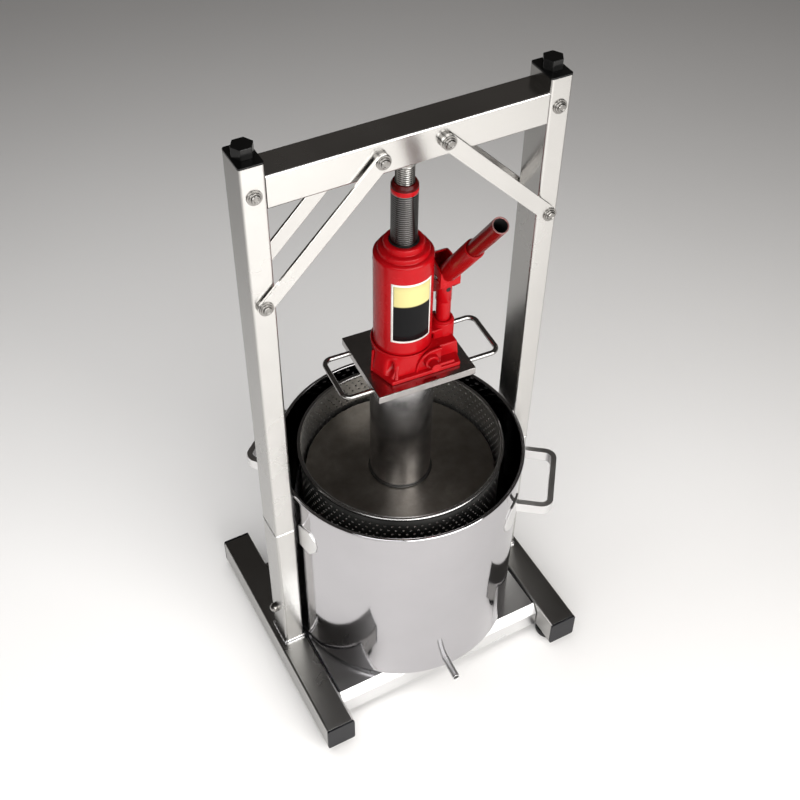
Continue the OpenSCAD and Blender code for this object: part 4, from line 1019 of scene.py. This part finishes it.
def plate_gap_shades():
    """Dark strips as painted shade in the gaps between the base plate and the two feet."""
    low, high = size_mm("base_plate")
    front = low.y + GAP_SHADE_FRONT
    count = round((high.y - low.y - GAP_SHADE_SHORT) / GAP_SHADE_STEP)
    for name, x in (("left", low.x + 0.8), ("right", high.x - 0.8)):
        path = [Vector((x, front + i * GAP_SHADE_STEP, high.z - 0.5)) for i in range(count + 1)]
        # painted shade: dark strips stand for the shaded gaps
        bead("plate_gap_shade_" + name, path, GAP_SHADE_R, "frame", "cap", "rubber", 6, closed=False)


def tube_end():
    """Bare rim of the handle tube's open end, and a dark sleeve in its bore as painted shade."""
    origin, along = socket_line()
    rim = [(TUBE_BORE + 0.05, TUBE_END - 0.6), (TUBE_R - 0.1, TUBE_END - 0.6),
           (TUBE_R - 0.05, TUBE_END - 0.1), (TUBE_R - 0.35, TUBE_END + 0.25),
           (TUBE_BORE + 0.4, TUBE_END + 0.25), (TUBE_BORE + 0.05, TUBE_END - 0.1)]
    lathe("tube_rim", rim, origin, "bar", "rim", "red_paint", 48, along)
    # painted shade: a dark sleeve lines the bore some way in from the open end
    deep, mouth = TUBE_END - TUBE_SHADE_DEPTH, TUBE_END - 0.8
    inside = [(TUBE_BORE - 0.4, deep), (TUBE_BORE - 0.05, deep), (TUBE_BORE - 0.05, mouth),
              (TUBE_BORE - 0.4, mouth)]
    lathe("tube_shade_sleeve", inside, origin, "bar", "rubber", "rubber", 48, along)


basket_sheet()
hoop_bead()
threaded_screw()
grooved_ram()
tank_label()
frame_welds()
flanged_bolts("flanged_beam_bolts", "beam_bolts", [(-BOLT_X, BOLT_TOP), (BOLT_X, BOLT_TOP)])
flanged_bolts("flanged_brace_bolts", "brace_bolts",
              [(-BRACE_X, BOLT_TOP), (BRACE_X, BOLT_TOP), (-BOLT_X, BRACE_LOW), (BOLT_X, BRACE_LOW)])
tool_welds()
pin_clips()
stepped_nut()
casting_rims()
jack_casting()
pump_body()
pump_yoke()
plate_gap_shades()
tube_end()

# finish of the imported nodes: material and edge width in mm for each
FINISH = {
    "foot_tube_left": ("steel_y", 0.4), "foot_tube_right": ("steel_y", 0.4),
    "foot_end_caps": ("cap", 0.8), "rubber_feet": ("rubber", 1.0), "foot_screws": ("zinc", 0.3),
    "front_rail": ("steel_x", 0.8), "rear_rail": ("steel_x", 0.8), "base_plate": ("plate", 0.5),
    "base_bearers": ("steel_y", 0.8),
    "stub_post_left": ("steel_z", 0.4), "stub_post_right": ("steel_z", 0.4),
    "spigot_left": ("steel_z", 0.4), "spigot_right": ("steel_z", 0.4),
    "upright_left": ("steel_z", 0.4), "upright_right": ("steel_z", 0.4),
    "crossbeam": ("steel_x", 0.4), "beam_tongues": ("steel_x", 0.4),
    "top_plugs": ("black", 0.7), "top_hex_heads": ("black", 0.9),
    "hex_nuts": ("zinc", 0.5), "washers": ("zinc", 0.3),
    "brace_front_left": ("steel_down", 0.4), "brace_front_right": ("steel_up", 0.4),
    "brace_back_left": ("steel_down", 0.4), "brace_back_right": ("steel_up", 0.4),
    "brace_spacers": ("zinc", 0.3),
    "cross_bolts": ("zinc", 0.8), "cross_nuts": ("zinc", 0.6),
    "pot_shell": ("pot", 0.2), "pot_handle_left": ("strap", 0.8), "pot_handle_right": ("strap", 0.8),
    "pot_guide": ("strap", 0.3), "drain_spout": ("strap", 0.3),
    "basket_hoop": ("basket", 0.5), "basket_floor": ("basket", 0.3),
    "press_plate": ("press", 0.8), "press_pillar": ("pillar", 0.4), "jack_plate": ("jack_plate", 0.9),
    "loop_handle_left": ("rod", 0.2), "loop_handle_right": ("rod", 0.2),
    "jack_tank": ("red", 0.6),
    "jack_cylinder": ("ram", 0.3), "filler_plug": ("rubber", 0.5),
    "fulcrum_links": ("red", 0.6), "fulcrum_pin": ("zinc", 0.6), "ram_seal": ("rubber", 0.3),
    # painted shade: the handle tube has a darker copy of the red paint
    "handle_tube": ("shaded_red", 0.5), "pump_plunger": ("zinc", 0.3),
    "plunger_pin": ("zinc", 0.6), "release_valve": ("red", 0.6),
}

# nodes of flat faces only, shaded flat
FLAT = ("brace_front_left", "brace_front_right", "brace_back_left", "brace_back_right", "hex_nuts",
        "jack_plate")


def finish_nodes():
    """Material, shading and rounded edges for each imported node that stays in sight."""
    for name, (material, width) in FINISH.items():
        node = NODES[name]
        node.data.materials.clear()
        node.data.materials.append(MATERIALS[material])
        split = node.data.attributes.get("custom_normal")
        if split:
            node.data.attributes.remove(split)
        for polygon in node.data.polygons:
            polygon.use_smooth = name not in FLAT
        soften(node, width, normals=name not in FLAT)


finish_nodes()


# stage

def floor():
    """Plain pale floor."""
    mesh = bpy.data.meshes.new("floor")
    corners = [(FLOOR_HALF * x, FLOOR_HALF * y, 0) for x, y in ((-1, -1), (1, -1), (1, 1), (-1, 1))]
    mesh.from_pydata(corners, [], [(0, 1, 2, 3)])
    ground = bpy.data.objects.new("floor", mesh)
    bpy.context.scene.collection.objects.link(ground)
    material, tree, shader = new_material("floor_paint")
    cloud = noise(tree, object_coords(tree), 1.5, 3.0)
    tone = ramp(tree, cloud, [(0.3, (0.80, 0.79, 0.78)), (0.7, (0.82, 0.81, 0.80))])
    tree.links.new(tone, shader.inputs["Base Color"])
    set_values(shader, Roughness=0.9)
    mesh.materials.append(material)
    return ground


def area_light(name, place, target, size, power, colour=(1, 1, 1)):
    """Soft rectangular lamp at a place, turned to its target."""
    data = bpy.data.lights.new(name, "AREA")
    data.shape = "RECTANGLE"
    data.size, data.size_y = size
    data.energy = power
    data.color = colour
    lamp = bpy.data.objects.new(name, data)
    bpy.context.scene.collection.objects.link(lamp)
    aim = Vector(target) - Vector(place)
    lamp.matrix_world = Matrix.Translation(place) @ aim.to_track_quat("-Z", "Y").to_matrix().to_4x4()
    return lamp


def studio(ground):
    """Dim world, three soft lamps on the press and one that lights the floor alone."""
    world = bpy.data.worlds.new("studio")
    scene = bpy.context.scene
    scene.world = world
    scene.view_settings.view_transform = "Standard"
    world.use_nodes = True
    world.node_tree.nodes["Background"].inputs["Color"].default_value = WORLD_TONE
    area_light("key", (0.20, -1.75, 1.0), (0.0, -0.1, 0.3), (2.0, 1.1), 49.0, KEY_TONE)
    area_light("top", (0.25, -1.15, 1.75), (0.05, -0.2, 0.1), (0.8, 0.6), 4.0)
    area_light("left", (-1.5, -1.5, 1.4), (-0.9, -0.1, 0.0), (1.4, 1.4), 19.0)
    backdrop = area_light("backdrop", (-0.35, 0.15, 1.25), (-0.35, 0.15, 0.0), (1.3, 1.0), 12.5)
    lit = bpy.data.collections.new("backdrop_lit")
    lit.objects.link(ground)
    backdrop.light_linking.receiver_collection = lit


def camera():
    """Camera at the photograph's viewing angle."""
    data = bpy.data.cameras.new("camera")
    data.lens = CAMERA_LENS
    data.sensor_width = SENSOR
    view = bpy.data.objects.new("camera", data)
    bpy.context.scene.collection.objects.link(view)
    tilt = math.pi / 2 - CAMERA_PITCH
    turn = Matrix.Rotation(-CAMERA_YAW, 4, "Z") @ Matrix.Rotation(tilt, 4, "X")
    view.matrix_world = Matrix.Translation(CAMERA_PLACE) @ turn @ Matrix.Rotation(CAMERA_ROLL, 4, "Z")
    bpy.context.scene.camera = view


studio(floor())
camera()
